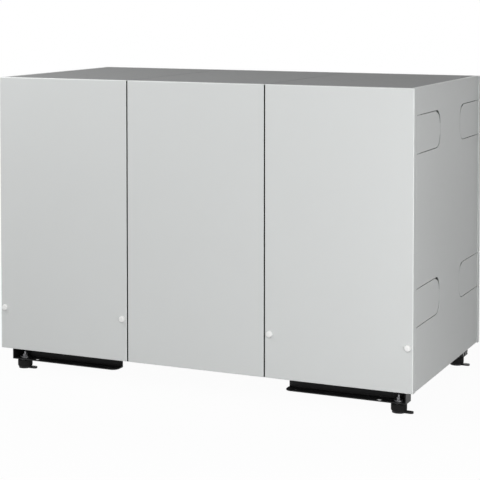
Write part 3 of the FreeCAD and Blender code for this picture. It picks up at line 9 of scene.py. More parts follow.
import bmesh
import bpy
from bpy.props import FloatProperty, FloatVectorProperty, IntProperty, PointerProperty
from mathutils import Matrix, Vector


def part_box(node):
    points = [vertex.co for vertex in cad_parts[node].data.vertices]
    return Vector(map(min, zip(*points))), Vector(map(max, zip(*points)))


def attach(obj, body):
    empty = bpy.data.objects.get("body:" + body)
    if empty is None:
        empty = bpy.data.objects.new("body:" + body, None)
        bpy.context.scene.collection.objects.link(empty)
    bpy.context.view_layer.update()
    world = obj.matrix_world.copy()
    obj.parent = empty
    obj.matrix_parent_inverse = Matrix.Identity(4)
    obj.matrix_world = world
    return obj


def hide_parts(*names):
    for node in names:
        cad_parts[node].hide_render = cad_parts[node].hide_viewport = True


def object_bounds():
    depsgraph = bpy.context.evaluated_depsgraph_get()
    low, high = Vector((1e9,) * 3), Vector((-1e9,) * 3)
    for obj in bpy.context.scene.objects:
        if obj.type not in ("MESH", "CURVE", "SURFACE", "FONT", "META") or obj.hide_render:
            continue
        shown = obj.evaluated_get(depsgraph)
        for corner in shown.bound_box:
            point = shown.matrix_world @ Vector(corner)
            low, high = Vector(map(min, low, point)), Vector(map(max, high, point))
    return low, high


bl_info = {
    "name": "Ground source heat pump",
    "version": (1, 0, 0),
    "blender": (4, 5, 0),
    "location": "3D View > Sidebar > Heat pump",
    "description": "Finishes and small pieces of a ground source heat pump",
    "category": "Object",
}

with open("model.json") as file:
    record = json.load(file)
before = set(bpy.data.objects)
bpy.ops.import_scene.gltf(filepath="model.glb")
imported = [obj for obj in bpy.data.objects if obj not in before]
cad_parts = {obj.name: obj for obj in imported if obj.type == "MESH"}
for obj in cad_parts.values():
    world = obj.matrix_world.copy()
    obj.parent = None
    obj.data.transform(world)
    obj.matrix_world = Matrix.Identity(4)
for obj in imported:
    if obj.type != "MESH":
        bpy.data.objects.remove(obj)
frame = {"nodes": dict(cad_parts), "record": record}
CAD_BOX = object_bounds()
NODE_SLOTS = {part["node"]: part["material_slot"] for part in frame["record"]["subparts"]}
SIDES = ("left", "middle", "right")

# Sizes of the construction that the nodes' boxes don't give
SHELL_INSET = 0.007     # compressor's shell inside the edge of its foot plate
SEAM_RISE = 0.334       # shell's seam above the foot plate's underside
LINE_RADIUS = 0.021     # suction line over its insulation
LID_SHEET = 0.0015      # sheet of the electrical box's lid

SAME_PLANE = 1e-5       # a point this near a face lies in it
FACING = 0.9            # part of a face's normal along an axis, from which on it faces that way
FIGURE_SHARE = 0.72     # height of a printed figure in that of its line of text

# Each lamp's name, place, target and edge length; its power is the property of the same name
LAMPS = (
    ("key", (0.8, -4.0, 3.0), (0.0, -0.3, 0.5), 2.0),
    ("side", (2.2, -1.9, 0.55), (0.675, -0.1, 0.45), 1.0),
    ("left", (-1.6, -1.5, 2.2), (-0.5, -0.2, 0.9), 0.8),
    ("upper", (-1.9, -0.2, 2.0), (-0.5, 0.0, 0.9), 0.8),
    ("rear", (0.3, 4.8, 0.75), (0.0, 0.3, 0.5), 1.6),
)
FLOOR_WIDTH = 160.0     # so wide that its edge lies near the horizon
FLOOR_DROP = 0.0003     # floor under the feet, so that no two faces lie in one plane

# Stretch of a pattern that is as large along each axis
EVEN = (1.0, 1.0, 1.0)
# Numbers of a Mix node's sockets for colours: its sockets of other kinds have the same names
MIX_AMOUNT, MIX_FIRST, MIX_SECOND, MIX_RESULT = 0, 6, 7, 2
# The painted highlight on a folded edge, a paler stripe in widths of the fold: its middle behind the face,
# and the distances from that middle at which it begins to fade and is gone
HIGHLIGHT_MIDDLE, HIGHLIGHT_FULL, HIGHLIGHT_GONE = 0.55, 0.40, 0.50
HIGHLIGHT_TONE = 1.4       # tone of the painted highlight over that of the sheet


# Sizes and colours that a user may change

def length(name, description, default):
    return FloatProperty(name=name, description=description, default=default, unit="LENGTH", precision=4)


def share(name, description, default):
    return FloatProperty(name=name, description=description, default=default, min=0.0, max=1.0,
                         subtype="FACTOR")


def colour(name, description, default):
    return FloatVectorProperty(name=name, description=description, default=default, min=0.0, max=1.0, size=3,
                               subtype="COLOR")


def power(name, description, default):
    return FloatProperty(name=name, description=description, default=default, min=0.0, unit="POWER")


class CasingLook(bpy.types.PropertyGroup):
    """Coated sheet of the cabinet and the base"""
    front: colour("Front colour", "Coat of the front, side and back panels", (0.655, 0.67, 0.665))
    top: colour("Top colour", "Coat of the top panels", (0.260, 0.264, 0.264))
    base: colour("Base colour", "Coat of the rails, cross members and foot plates", (0.009, 0.009, 0.0095))
    cover: colour("Cover colour", "Coat of the electrical box's lid", (0.42, 0.43, 0.43))
    roughness: share("Roughness", "Roughness of the satin coat", 0.5)
    gloss: share("Gloss", "How much the coat of the panels mirrors", 0.25)
    top_gloss: share("Top gloss", "Gloss of the top panels over that of the others", 0.12)
    peel: length("Coat ripple", "Depth of the coat's fine ripple", 0.00003)
    # The painted highlight on the front panels' folded edges is laid over this width
    fold: length("Fold", "Width of the panels' rounded edges", 0.0025)


class FoamSizes(bpy.types.PropertyGroup):
    """Sound insulation behind the front panels"""
    pitch: length("Knob pitch", "Distance between two knobs of the foam", 0.030)
    knob: length("Knob height", "How far the knobs rise above the hollows", 0.006)
    edge: length("Edge round", "Rounding of the mat's edges", 0.003)
    tint: colour("Foam colour", "Colour of the foam", (0.045, 0.046, 0.049))


class GasketSizes(bpy.types.PropertyGroup):
    """Sealing strips on the posts, behind the front panels"""
    width: length("Width", "Width of a strip", 0.012)
    proud: length("Thickness", "Thickness of a strip", 0.0024)
    round: length("Edge round", "Rounding of a strip's edges", 0.0009)
    corner: length("Corner distance", "Middle of an outer strip from the corner posts' outer faces", 0.0264)
    seam: length("Seam distance", "Middle of an inner strip from the middle panel's edge", 0.002)


class SealSizes(bpy.types.PropertyGroup):
    """Black seals in the slits between the front panels"""
    thick: length("Thickness", "How far a seal stands into the slit", 0.0012)
    start: length("Start", "Distance of the seals behind the panels' faces", 0.0008)
    short: length("Shortening", "How much a seal is shorter than its panel at each end", 0.0012)
    rib: length("Rib", "Height of the rib along a seal", 0.0003)


class ScrewSizes(bpy.types.PropertyGroup):
    """Pan-head screws of the electrical box and the terminal boxes"""
    radius: length("Head radius", "Radius of a screw's head", 0.0045)
    height: length("Head height", "Height of a screw's head", 0.0024)
    inset: length("Inset", "Distance of the screws from the lids' edges", 0.011)
    crown: share("Crown", "Rounding of a head's edge, in its height", 0.42)
    cross_reach: share("Cross reach", "Half the length of the cross recess, in the head's radius", 0.58)
    cross_width: share("Cross width", "Half the width of the cross recess, in the head's radius", 0.13)
    cross_floor: share("Cross floor", "Floor of the cross recess over the head's seat, in its height", 0.45)


class WeldSizes(bpy.types.PropertyGroup):
    """Weld beads round the compressors' shells"""
    thick: length("Bead radius", "Radius of a bead's section", 0.0016)
    ripple: length("Ripple", "Height of a bead's ripples", 0.0004)
    ripples: IntProperty(name="Ripples", description="Number of ripples round a shell", default=140, min=8)


class TapeSizes(bpy.types.PropertyGroup):
    """Bands of tape over the joints of the suction line's insulation"""
    width: length("Width", "Width of a band", 0.048)
    thick: length("Thickness", "Thickness of a band", 0.0006)
    turns: IntProperty(name="Bands", description="Number of bands along the line", default=4, min=1)
    lift: share("Lift", "Distance of a band's inner face from the insulation, in its thickness", 0.25)
    round: share("Edge round", "Rounding of a band's edges, in its thickness", 0.4)


class MarkSizes(bpy.types.PropertyGroup):
    """Printed marks of the main switch"""
    height: length("Height", "Height of the figures", 0.0058)
    thick: length("Thickness", "Thickness of the print", 0.00015)
    reach: length("Reach", "Distance of the figures from the switch's axis", 0.0255)


class StageLook(bpy.types.PropertyGroup):
    """Floor, light and camera"""
    floor: colour("Floor colour", "Colour of the floor in bounced light", (0.58, 0.58, 0.58))
    shade: share("Shadow", "How strongly the floor shows the object's shadow", 0.035)
    shade_start: length("Shadow start", "Distance from the middle at which the shadow begins to fade", 0.8)
    shade_end: length("Shadow end", "Distance from the middle at which the shadow is gone", 2.0)
    sky: FloatProperty(name="Sky", description="Strength of the even light all round", default=0.15, min=0.0)
    key: power("Key light", "Power of the large lamp in front", 82.5)
    side: power("Side light", "Power of the low lamp at the right", 22.5)
    left: power("Left light", "Power of the lamp at the left in front", 19.2)
    upper: power("Upper light", "Power of the small lamp over the left end", 9.0)
    rear: power("Rear light", "Power of the lamp behind", 50.0)
    camera_place: FloatVectorProperty(name="Camera", description="Place of the camera", size=3,
                                      unit="LENGTH", default=(1.9106, -4.2785, 1.1904))
    camera_turn: FloatProperty(name="Camera turn", description="Turn of the camera to the left",
                               subtype="ANGLE", default=math.radians(24.11))
    camera_tilt: FloatProperty(name="Camera tilt", description="Tilt of the camera below the level",
                               subtype="ANGLE", default=math.radians(2.53))
    focal: FloatProperty(name="Focal length", description="Focal length in widths of the picture",
                         default=3.1034)
    shift: FloatProperty(name="Shift", default=-0.382,
                         description="Height of the picture's middle over the lens axis, in widths")


# Finishes

FINISHES = {}


def coordinates(tree, stretch=EVEN):
    """The object's own coordinates, stretched along each axis."""
    place = tree.nodes.new("ShaderNodeTexCoord")
    mapping = tree.nodes.new("ShaderNodeMapping")
    mapping.inputs["Scale"].default_value = stretch
    tree.links.new(place.outputs["Object"], mapping.inputs["Vector"])
    return mapping.outputs["Vector"]


def noise(tree, scale, detail, stretch=EVEN):
    """A soft irregular pattern between nought and one."""
    texture = tree.nodes.new("ShaderNodeTexNoise")
    texture.inputs["Scale"].default_value = scale
    texture.inputs["Detail"].default_value = detail
    tree.links.new(coordinates(tree, stretch), texture.inputs["Vector"])
    return texture.outputs["Fac"]


def cells(tree, scale, output):
    """A pattern of irregular cells: the distance from their middles, or a colour for each."""
    texture = tree.nodes.new("ShaderNodeTexVoronoi")
    texture.inputs["Scale"].default_value = scale
    tree.links.new(coordinates(tree), texture.inputs["Vector"])
    return texture.outputs[output]


def spread(tree, source, low, high, start=0.3, end=0.7):
    """Maps a texture's middle range to values between low and high."""
    ramp = tree.nodes.new("ShaderNodeMapRange")
    for name, value in (("From Min", start), ("From Max", end), ("To Min", low), ("To Max", high)):
        ramp.inputs[name].default_value = value
    tree.links.new(source, ramp.inputs["Value"])
    return ramp.outputs["Result"]


def worked(tree, operation, first, second=0.0, limited=False):
    """Result of a Math node, whose second value is a number or another node's output."""
    step = tree.nodes.new("ShaderNodeMath")
    step.operation = operation
    step.use_clamp = limited
    tree.links.new(first, step.inputs[0])
    if isinstance(second, float):
        step.inputs[1].default_value = second
    else:
        tree.links.new(second, step.inputs[1])
    return step.outputs[0]


def blend_colours(tree, amount, first, second):
    """The first colour where the amount is nought, and the second where it is one."""
    mix = tree.nodes.new("ShaderNodeMix")
    mix.data_type = "RGBA"
    mix.inputs[MIX_FIRST].default_value = (*first, 1.0)
    mix.inputs[MIX_SECOND].default_value = (*second, 1.0)
    tree.links.new(amount, mix.inputs[MIX_AMOUNT])
    return mix.outputs[MIX_RESULT]


def shaded(tone, factor):
    """The tone made darker or lighter."""
    return tuple(min(1.0, part * factor) for part in tone)


def bump(tree, height, depth, strength, under=None):
    """A relief from a pattern of heights, on top of the one under it."""
    relief = tree.nodes.new("ShaderNodeBump")
    relief.inputs["Strength"].default_value = strength
    relief.inputs["Distance"].default_value = depth
    tree.links.new(height, relief.inputs["Height"])
    if under:
        tree.links.new(under, relief.inputs["Normal"])
    return relief.outputs["Normal"]


def mottled(tree, tone, scale, detail, dark, light):
    """A tone that drifts in soft clouds between a darker and a lighter one."""
    return blend_colours(tree, noise(tree, scale, detail), shaded(tone, dark), shaded(tone, light))


def grained(tree, scale, detail, depth, strength, under=None):
    """A fine irregular relief."""
    return bump(tree, noise(tree, scale, detail), depth, strength, under)


def finish(name, tone, roughness, metallic=0.0):
    """A new material with its Principled shader set to even values."""
    material = bpy.data.materials.new(name)
    material.use_nodes = True
    shader = material.node_tree.nodes["Principled BSDF"]
    shader.inputs["Base Color"].default_value = (*tone, 1.0)
    shader.inputs["Roughness"].default_value = roughness
    shader.inputs["Metallic"].default_value = metallic
    FINISHES[name] = material
    return material.node_tree, shader


def drive(tree, shader, tint, sheen, relief):
    """Lets patterns drive the shader's colour, its roughness where sheen is given, and its normal."""
    tree.links.new(tint, shader.inputs["Base Color"])
    if sheen:
        tree.links.new(sheen, shader.inputs["Roughness"])
    tree.links.new(relief, shader.inputs["Normal"])


def powder_coat(name, tone, roughness, peel, gloss, highlight_rims=None):
    """Satin coated sheet: a fine ripple, a slight drift of tone over its width and painted highlights on
    folded rims.
    """
    tree, shader = finish(name, tone, roughness)
    shader.inputs["Specular IOR Level"].default_value = gloss
    tint = mottled(tree, tone, scale=2.4, detail=3.0, dark=0.985, light=1.015)
    # Painted highlight: the coat is made paler on the folded rims, as if they caught the light
    if highlight_rims:
        highlighted = blend_colours(tree, rim_highlight_mask(tree, *highlight_rims), tone, shaded(tone, HIGHLIGHT_TONE))
        tree.links.new(tint, highlighted.node.inputs[MIX_FIRST])
        tint = highlighted
    sheen = spread(tree, noise(tree, 60.0, detail=3.0), low=roughness - 0.03, high=roughness + 0.03)
    drive(tree, shader, tint, sheen, grained(tree, 900.0, detail=2.0, depth=peel, strength=0.4))


def rim_highlight_mask(tree, face, fold):
    """Mask of the painted highlight: one on the rounded edges just behind the front panels' faces, and nought
    elsewhere.
    """
    split = tree.nodes.new("ShaderNodeSeparateXYZ")
    tree.links.new(coordinates(tree), split.inputs[0])
    off = worked(tree, "SUBTRACT", split.outputs["Y"], face + fold * HIGHLIGHT_MIDDLE)
    return spread(tree, worked(tree, "ABSOLUTE", off), low=1.0, high=0.0,
                  start=fold * HIGHLIGHT_FULL, end=fold * HIGHLIGHT_GONE)


def enamel(name, tone, roughness):
    """Thick glossy paint with an orange-peel surface."""
    tree, shader = finish(name, tone, roughness)
    shader.inputs["Coat Weight"].default_value = 0.35
    shader.inputs["Coat Roughness"].default_value = 0.12
    tint = mottled(tree, tone, scale=9.0, detail=4.0, dark=0.85, light=1.2)
    drive(tree, shader, tint, None, grained(tree, 320.0, detail=1.0, depth=0.0002, strength=0.35))


def galvanised(name, tone):
    """Zinc-dipped sheet with its spangle."""
    tree, shader = finish(name, tone, roughness=0.42, metallic=0.85)
    flakes = cells(tree, 110.0, "Color")
    paler = spread(tree, flakes, low=0.0, high=1.0, start=0.0, end=1.0)
    tint = blend_colours(tree, paler, shaded(tone, 0.82), shaded(tone, 1.12))
    sheen = spread(tree, flakes, low=0.34, high=0.50, start=0.0, end=1.0)
    drive(tree, shader, tint, sheen, grained(tree, 420.0, detail=3.0, depth=0.00005, strength=0.3))


def bare_metal(name, tone, roughness, grain, stretch=EVEN):
    """Metal with the fine lines of its drawing or pressing and a slight stain."""
    tree, shader = finish(name, tone, roughness, metallic=1.0)
    lines = noise(tree, grain, detail=4.0, stretch=stretch)
    tint = mottled(tree, tone, scale=14.0, detail=4.0, dark=0.88, light=1.06)
    sheen = spread(tree, lines, low=roughness - 0.06, high=roughness + 0.08)
    drive(tree, shader, tint, sheen, bump(tree, lines, depth=0.00004, strength=0.35))


def copper_tube(name, tone, tarnish):
    """Drawn copper with darker clouds where it was heated and handled."""
    tree, shader = finish(name, tone, roughness=0.30, metallic=1.0)
    clouds = spread(tree, noise(tree, 22.0, detail=6.0), low=0.0, high=1.0, start=0.42, end=0.68)
    tint = blend_colours(tree, clouds, tone, tarnish)
    sheen = spread(tree, clouds, low=0.24, high=0.46, start=0.0, end=1.0)
    drive(tree, shader, tint, sheen, grained(tree, 260.0, detail=3.0, depth=0.00005, strength=0.3))


def moulded(name, tone, roughness, grain=700.0, depth=0.00006, gloss=0.5):
    """Moulded plastic or rubber with a fine spark-eroded grain."""
    tree, shader = finish(name, tone, roughness)
    shader.inputs["Specular IOR Level"].default_value = gloss
    tint = mottled(tree, tone, scale=30.0, detail=4.0, dark=0.93, light=1.07)
    sheen = spread(tree, noise(tree, 90.0, detail=3.0), low=roughness - 0.05, high=roughness + 0.05)
    drive(tree, shader, tint, sheen, grained(tree, grain, detail=2.0, depth=depth, strength=0.5))


def open_foam(name, tone):
    """Open-pored foam: two sizes of pores and a dusty, uneven tone."""
    tree, shader = finish(name, tone, roughness=0.92)
    tint = mottled(tree, tone, scale=240.0, detail=5.0, dark=0.55, light=1.5)
    pores = bump(tree, cells(tree, 900.0, "Distance"), depth=0.0006, strength=0.8)
    relief = grained(tree, 330.0, detail=4.0, depth=0.0005, strength=0.6, under=pores)
    drive(tree, shader, tint, None, relief)


class HEATPUMP_OT_finishes(bpy.types.Operator):
    """Makes every finish and puts it on the construction's nodes"""
    bl_idname = "heatpump.finishes"
    bl_label = "Finishes"

    def execute(self, context):
        self.coats(context.scene.heatpump_casing)
        self.metals()
        self.plastics(context.scene.heatpump_foam.tint)
        for name, node in frame["nodes"].items():
            node.data.materials.clear()
            node.data.materials.append(FINISHES[NODE_SLOTS[name]])
        return {"FINISHED"}

    def coats(self, look):
        # The casing's coat carries a painted highlight on the front panels' folded edges
        powder_coat("casing_paint", look.front, look.roughness, look.peel, look.gloss,
                    highlight_rims=(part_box("front_panel_middle")[0].y, look.fold))
        powder_coat("top_paint", look.top, look.roughness, look.peel, look.gloss * look.top_gloss)
        powder_coat("base_paint", look.base, look.roughness - 0.08, look.peel * 2, look.gloss)
        powder_coat("cover_paint", look.cover, look.roughness, look.peel, look.gloss)
        enamel("compressor_paint", (0.016, 0.016, 0.018), roughness=0.30)
        enamel("drier_paint", (0.035, 0.060, 0.110), roughness=0.34)

    def metals(self):
        galvanised("galvanised", (0.30, 0.315, 0.33))
        bare_metal("zinc", (0.42, 0.43, 0.445), roughness=0.34, grain=300.0)
        bare_metal("dark_zinc", (0.30, 0.30, 0.31), roughness=0.38, grain=300.0)
        bare_metal("stainless", (0.56, 0.56, 0.55), roughness=0.30, grain=140.0, stretch=(1.0, 1.0, 9.0))
        bare_metal("brass", (0.60, 0.42, 0.15), roughness=0.28, grain=240.0)
        copper_tube("copper", (0.62, 0.27, 0.13), tarnish=(0.28, 0.12, 0.07))

    def plastics(self, foam_tint):
        moulded("rubber", (0.006, 0.006, 0.006), roughness=0.72, grain=500.0, depth=0.00012, gloss=0.15)
        moulded("line_foam", (0.016, 0.016, 0.017), roughness=0.88, grain=380.0, depth=0.00030)
        moulded("white_plastic", (0.90, 0.90, 0.89), roughness=0.36)
        moulded("nylon", (0.60, 0.58, 0.50), roughness=0.46)
        moulded("grey_plastic", (0.10, 0.105, 0.11), roughness=0.48)
        moulded("light_plastic", (0.45, 0.46, 0.44), roughness=0.45)
        moulded("red_plastic", (0.42, 0.012, 0.012), roughness=0.38)
        moulded("black_plastic", (0.018, 0.018, 0.018), roughness=0.45)
        open_foam("foam", foam_tint)


# Modelling

def only(piece):
    """Selects this piece and nothing else."""
    bpy.ops.object.select_all(action="DESELECT")
    piece.select_set(True)
    bpy.context.view_layer.objects.active = piece


def solid_box(name, low, high):
    """A box between two corners, its place in its mesh."""
    low, high = Vector(low), Vector(high)
    bpy.ops.object.select_all(action="DESELECT")
    bpy.ops.mesh.primitive_cube_add(size=1.0, location=(low + high) / 2)
    piece = bpy.context.object
    piece.scale = high - low
    bpy.ops.object.transform_apply(location=True, rotation=True, scale=True)
    piece.name = piece.data.name = name
    return piece


def pick(piece, kind, wanted):
    """In edit mode, selects the verts, edges or faces for which wanted(element) holds."""
    bpy.ops.mesh.select_mode(type={"verts": "VERT", "edges": "EDGE", "faces": "FACE"}[kind])
    bpy.ops.mesh.select_all(action="DESELECT")
    mesh = bmesh.from_edit_mesh(piece.data)
    for element in getattr(mesh, kind):
        if wanted(element):
            element.select_set(True)
    mesh.select_flush_mode()
    bmesh.update_edit_mesh(piece.data)


def use(piece, kind, **settings):
    """Adds a modifier and applies it."""
    modifier = piece.modifiers.new(kind.title(), kind)
    for name, value in settings.items():
        setattr(modifier, name, value)
    only(piece)
    bpy.ops.object.modifier_apply(modifier=modifier.name)


def done(piece, slot, body, angle=35.0):
    """Shades the piece, gives it its finish and lets it ride on its body."""
    only(piece)
    bpy.ops.object.transform_apply(location=True, rotation=True, scale=True)
    bpy.ops.object.shade_smooth_by_angle(angle=math.radians(angle))
    piece.data.materials.clear()
    piece.data.materials.append(FINISHES[slot])
    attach(piece, body)


def joined(name, pieces):
    """One object of several meshes."""
    bpy.ops.object.select_all(action="DESELECT")
    for piece in pieces:
        piece.select_set(True)
    bpy.context.view_layer.objects.active = pieces[0]
    if len(pieces) > 1:
        bpy.ops.object.join()
    pieces[0].name = pieces[0].data.name = name
    return pieces[0]


def cut_across(low, high, axis, count):
    """In edit mode, cuts a mesh between two corners into equal slices, and gives their width."""
    step = (high[axis] - low[axis]) / count
    for index in range(1, count):
        place, normal = Vector(), Vector()
        place[axis] = low[axis] + index * step
        normal[axis] = 1.0
        bpy.ops.mesh.select_all(action="SELECT")
        bpy.ops.mesh.bisect(plane_co=place, plane_no=normal)
    return step


class HEATPUMP_OT_foam_mats(bpy.types.Operator):
    """Adds the knobbed sound insulation behind each front panel"""
    bl_idname = "heatpump.foam_mats"
    bl_label = "Foam mats"

    def execute(self, context):
        sizes = context.scene.heatpump_foam
        for side in SIDES:
            node = f"panel_mat_{side}"
            low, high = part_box(node)
            piece = solid_box(f"foam_mat_{side}", low, high)
            self.raise_knobs(piece, low, high, sizes)
            use(piece, "BEVEL", width=sizes.edge, segments=2, limit_method="ANGLE",
                angle_limit=math.radians(60))
            use(piece, "SUBSURF", levels=2, render_levels=2)
            done(piece, "foam", f"panel_{side}", angle=80.0)
            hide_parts(node)
        return {"FINISHED"}

    def raise_knobs(self, piece, low, high, sizes):
        """Cuts the mat into squares and pushes every second corner of its back face in."""
        bpy.ops.object.mode_set(mode="EDIT")
        steps = {}
        for axis in (0, 2):
            count = max(2, round((high[axis] - low[axis]) / sizes.pitch))
            steps[axis] = cut_across(low, high, axis, count)

        def hollow(vert):
            column, row = (round((vert.co[axis] - low[axis]) / step) for axis, step in steps.items())
            return vert.co.y > high.y - SAME_PLANE and (column + row) % 2 == 0

        pick(piece, "verts", hollow)
        bpy.ops.transform.translate(value=(0.0, -sizes.knob, 0.0))
        bpy.ops.object.mode_set(mode="OBJECT")


class HEATPUMP_OT_gaskets(bpy.types.Operator):
    """Adds the sealing strips on the posts, one behind each upright edge of a front panel"""
    bl_idname = "heatpump.gaskets"
    bl_label = "Gaskets"

    def execute(self, context):
        sizes = context.scene.heatpump_gasket
        corner_low, corner_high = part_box("front_corner_posts")
        face = corner_low.y
        corner = corner_high.x - sizes.corner
        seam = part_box("front_panel_middle")[1].x + sizes.seam
        strips = []
        for name, reach in (("front_corner_posts", corner), ("front_mullions", seam)):
            low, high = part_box(name)
            for middle in (-reach, reach):
                strips.append(solid_box("gasket", (middle - sizes.width / 2, face - sizes.proud, low.z),
                                        (middle + sizes.width / 2, face, high.z)))
        piece = joined("panel_gaskets", strips)
        use(piece, "BEVEL", width=sizes.round, segments=2, limit_method="ANGLE")
        done(piece, "rubber", "cabinet")
        return {"FINISHED"}


class HEATPUMP_OT_edge_seals(bpy.types.Operator):
    """Adds the black seals on the front panels' sides, in the slits between them"""
    bl_idname = "heatpump.edge_seals"
    bl_label = "Edge seals"

    def execute(self, context):
        sizes = context.scene.heatpump_seal
        half_way = CAD_BOX[1].x / 2
        for side in SIDES:
            low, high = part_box(f"front_panel_{side}")
            # an edge nearer the middle than this faces another panel
            strips = [self.strip(low, high, edge, outward, sizes)
                      for edge, outward in ((low.x, -1), (high.x, 1)) if abs(edge) < half_way]
            piece = joined(f"edge_seal_{side}", strips)
            done(piece, "rubber", f"panel_{side}")
        return {"FINISHED"}

    def strip(self, low, high, edge, outward, sizes):
        """A flat seal with a rib along its middle, on one side of a panel."""
        out = edge + outward * sizes.thick
        piece = solid_box("seal", (min(edge, out), low.y + sizes.start, low.z + sizes.short),
                          (max(edge, out), high.y - sizes.start, high.z - sizes.short))
        bpy.ops.object.mode_set(mode="EDIT")
        pick(piece, "faces", lambda face: face.normal.x * outward > FACING)
        bpy.ops.mesh.inset(thickness=(high.y - low.y) / 3)
        bpy.ops.transform.translate(value=(outward * sizes.rib, 0.0, 0.0))
        bpy.ops.object.mode_set(mode="OBJECT")
        use(piece, "BEVEL", width=sizes.rib, segments=2, limit_method="ANGLE")
        return piece


def pan_screw(sizes):
    """The head of a cross-recess screw, its seat at the origin and its crown towards the front."""
    bpy.ops.object.select_all(action="DESELECT")
    bpy.ops.mesh.primitive_cylinder_add(vertices=32, radius=sizes.radius, depth=sizes.height,
                                        location=(0.0, -sizes.height / 2, 0.0),
                                        rotation=(math.pi / 2, 0.0, 0.0))
    bpy.ops.object.transform_apply(location=True, rotation=True, scale=True)
    head = bpy.context.object
    use(head, "BEVEL", width=sizes.height * sizes.crown, segments=4, limit_method="ANGLE")
    reach, width = sizes.radius * sizes.cross_reach, sizes.radius * sizes.cross_width
    above, bottom = -sizes.height * 2, -sizes.height * sizes.cross_floor
    for half_x, half_z in ((reach, width), (width, reach)):
        slot = solid_box("slot", (-half_x, above, -half_z), (half_x, bottom, half_z))
        use(head, "BOOLEAN", object=slot, operation="DIFFERENCE", solver="EXACT")
        only(slot)
        bpy.ops.object.delete()
    return head


def set_out(template, name, places):
    """Copies of the template at these places, as one piece."""
    copies = []
    for place in places:
        only(template)
        bpy.ops.object.duplicate()
        bpy.ops.transform.translate(value=place)
        copies.append(bpy.context.object)
    only(template)
    bpy.ops.object.delete()
    return joined(name, copies)


class HEATPUMP_OT_lid_screws(bpy.types.Operator):
    """Adds the screws of the electrical box's lid and of the terminal boxes' lids"""
    bl_idname = "heatpump.lid_screws"
    bl_label = "Lid screws"

    def execute(self, context):
        sizes = context.scene.heatpump_screw
        low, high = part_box("electrical_cover")
        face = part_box("electrical_box")[0].y - LID_SHEET
        heights = (low.z + sizes.inset, (low.z + high.z) / 2, high.z - sizes.inset)
        places = [(x, face, z) for x in (low.x + sizes.inset, high.x - sizes.inset) for z in heights]
        done(set_out(pan_screw(sizes), "lid_screws", places), "zinc", "cabinet")
        low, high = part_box("compressor_terminal_boxes")
        width = terminal_box_width(low, high)
        places = [(x, low.y, z) for box in (low.x, high.x - width)
                  for x in (box + sizes.inset, box + width - sizes.inset)
                  for z in (low.z + sizes.inset, high.z - sizes.inset)]
        done(set_out(pan_screw(sizes), "terminal_box_screws", places), "zinc", "cabinet")
        return {"FINISHED"}


def terminal_box_width(low, high):
    """Width of one terminal box: the two stand as far apart as the compressors."""
    left, right = (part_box(f"compressor_{side}") for side in ("left", "right"))
    pitch = (right[0].x + right[1].x - left[0].x - left[1].x) / 2
    return high.x - low.x - pitch


class HEATPUMP_OT_weld_beads(bpy.types.Operator):
    """Adds the rippled weld beads under the collars of the compressors' shells"""
    bl_idname = "heatpump.weld_beads"
    bl_label = "Weld beads"

    def execute(self, context):
        sizes = context.scene.heatpump_weld
        for side in ("left", "right"):
            low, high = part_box(f"compressor_{side}")
            middle = (low.x + high.x) / 2
            depth = low.y + (high.x - low.x) / 2
            shell = (high.x - low.x) / 2 - SHELL_INSET
            bpy.ops.object.select_all(action="DESELECT")
            bpy.ops.mesh.primitive_torus_add(location=(middle, depth, low.z + SEAM_RISE), major_radius=shell,
                                             minor_radius=sizes.thick, major_segments=2 * sizes.ripples,
                                             minor_segments=8)
            bpy.ops.object.transform_apply(location=True, rotation=True, scale=True)
            piece = bpy.context.object
            piece.name = piece.data.name = f"weld_bead_{side}"

            def raised(vert):
                turn = math.atan2(vert.co.y - depth, vert.co.x - middle) / math.tau
                return round(turn * 2 * sizes.ripples) % 2 == 0

            bpy.ops.object.mode_set(mode="EDIT")
            pick(piece, "verts", raised)
            bpy.ops.transform.shrink_fatten(value=sizes.ripple)
            bpy.ops.object.mode_set(mode="OBJECT")
            done(piece, "compressor_paint", "cabinet", angle=80.0)
        return {"FINISHED"}


class HEATPUMP_OT_tape_bands(bpy.types.Operator):
    """Adds the bands of tape over the joints of the suction line's insulation"""
    bl_idname = "heatpump.tape_bands"
    bl_label = "Tape bands"

    def execute(self, context):
        sizes = context.scene.heatpump_tape
        low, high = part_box("suction_line")
        left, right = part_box("compressor_right")[1].x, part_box("condenser")[1].x
        bands = []
        for index in range(sizes.turns):
            along = left + (right - left) * (index + 0.5) / sizes.turns
            bpy.ops.object.select_all(action="DESELECT")
            bpy.ops.mesh.primitive_cylinder_add(vertices=64, radius=LINE_RADIUS + sizes.thick * sizes.lift,
                                                depth=sizes.width, end_fill_type="NOTHING",
                                                location=(along, low.y + LINE_RADIUS, high.z - LINE_RADIUS),
                                                rotation=(0.0, math.pi / 2, 0.0))
            bpy.ops.object.transform_apply(location=True, rotation=True, scale=True)
            band = bpy.context.object
            use(band, "SOLIDIFY", thickness=sizes.thick, offset=1.0)
            use(band, "BEVEL", width=sizes.thick * sizes.round, segments=2, limit_method="ANGLE")
            bands.append(band)
        done(joined("suction_tape", bands), "black_plastic", "cabinet")
        return {"FINISHED"}


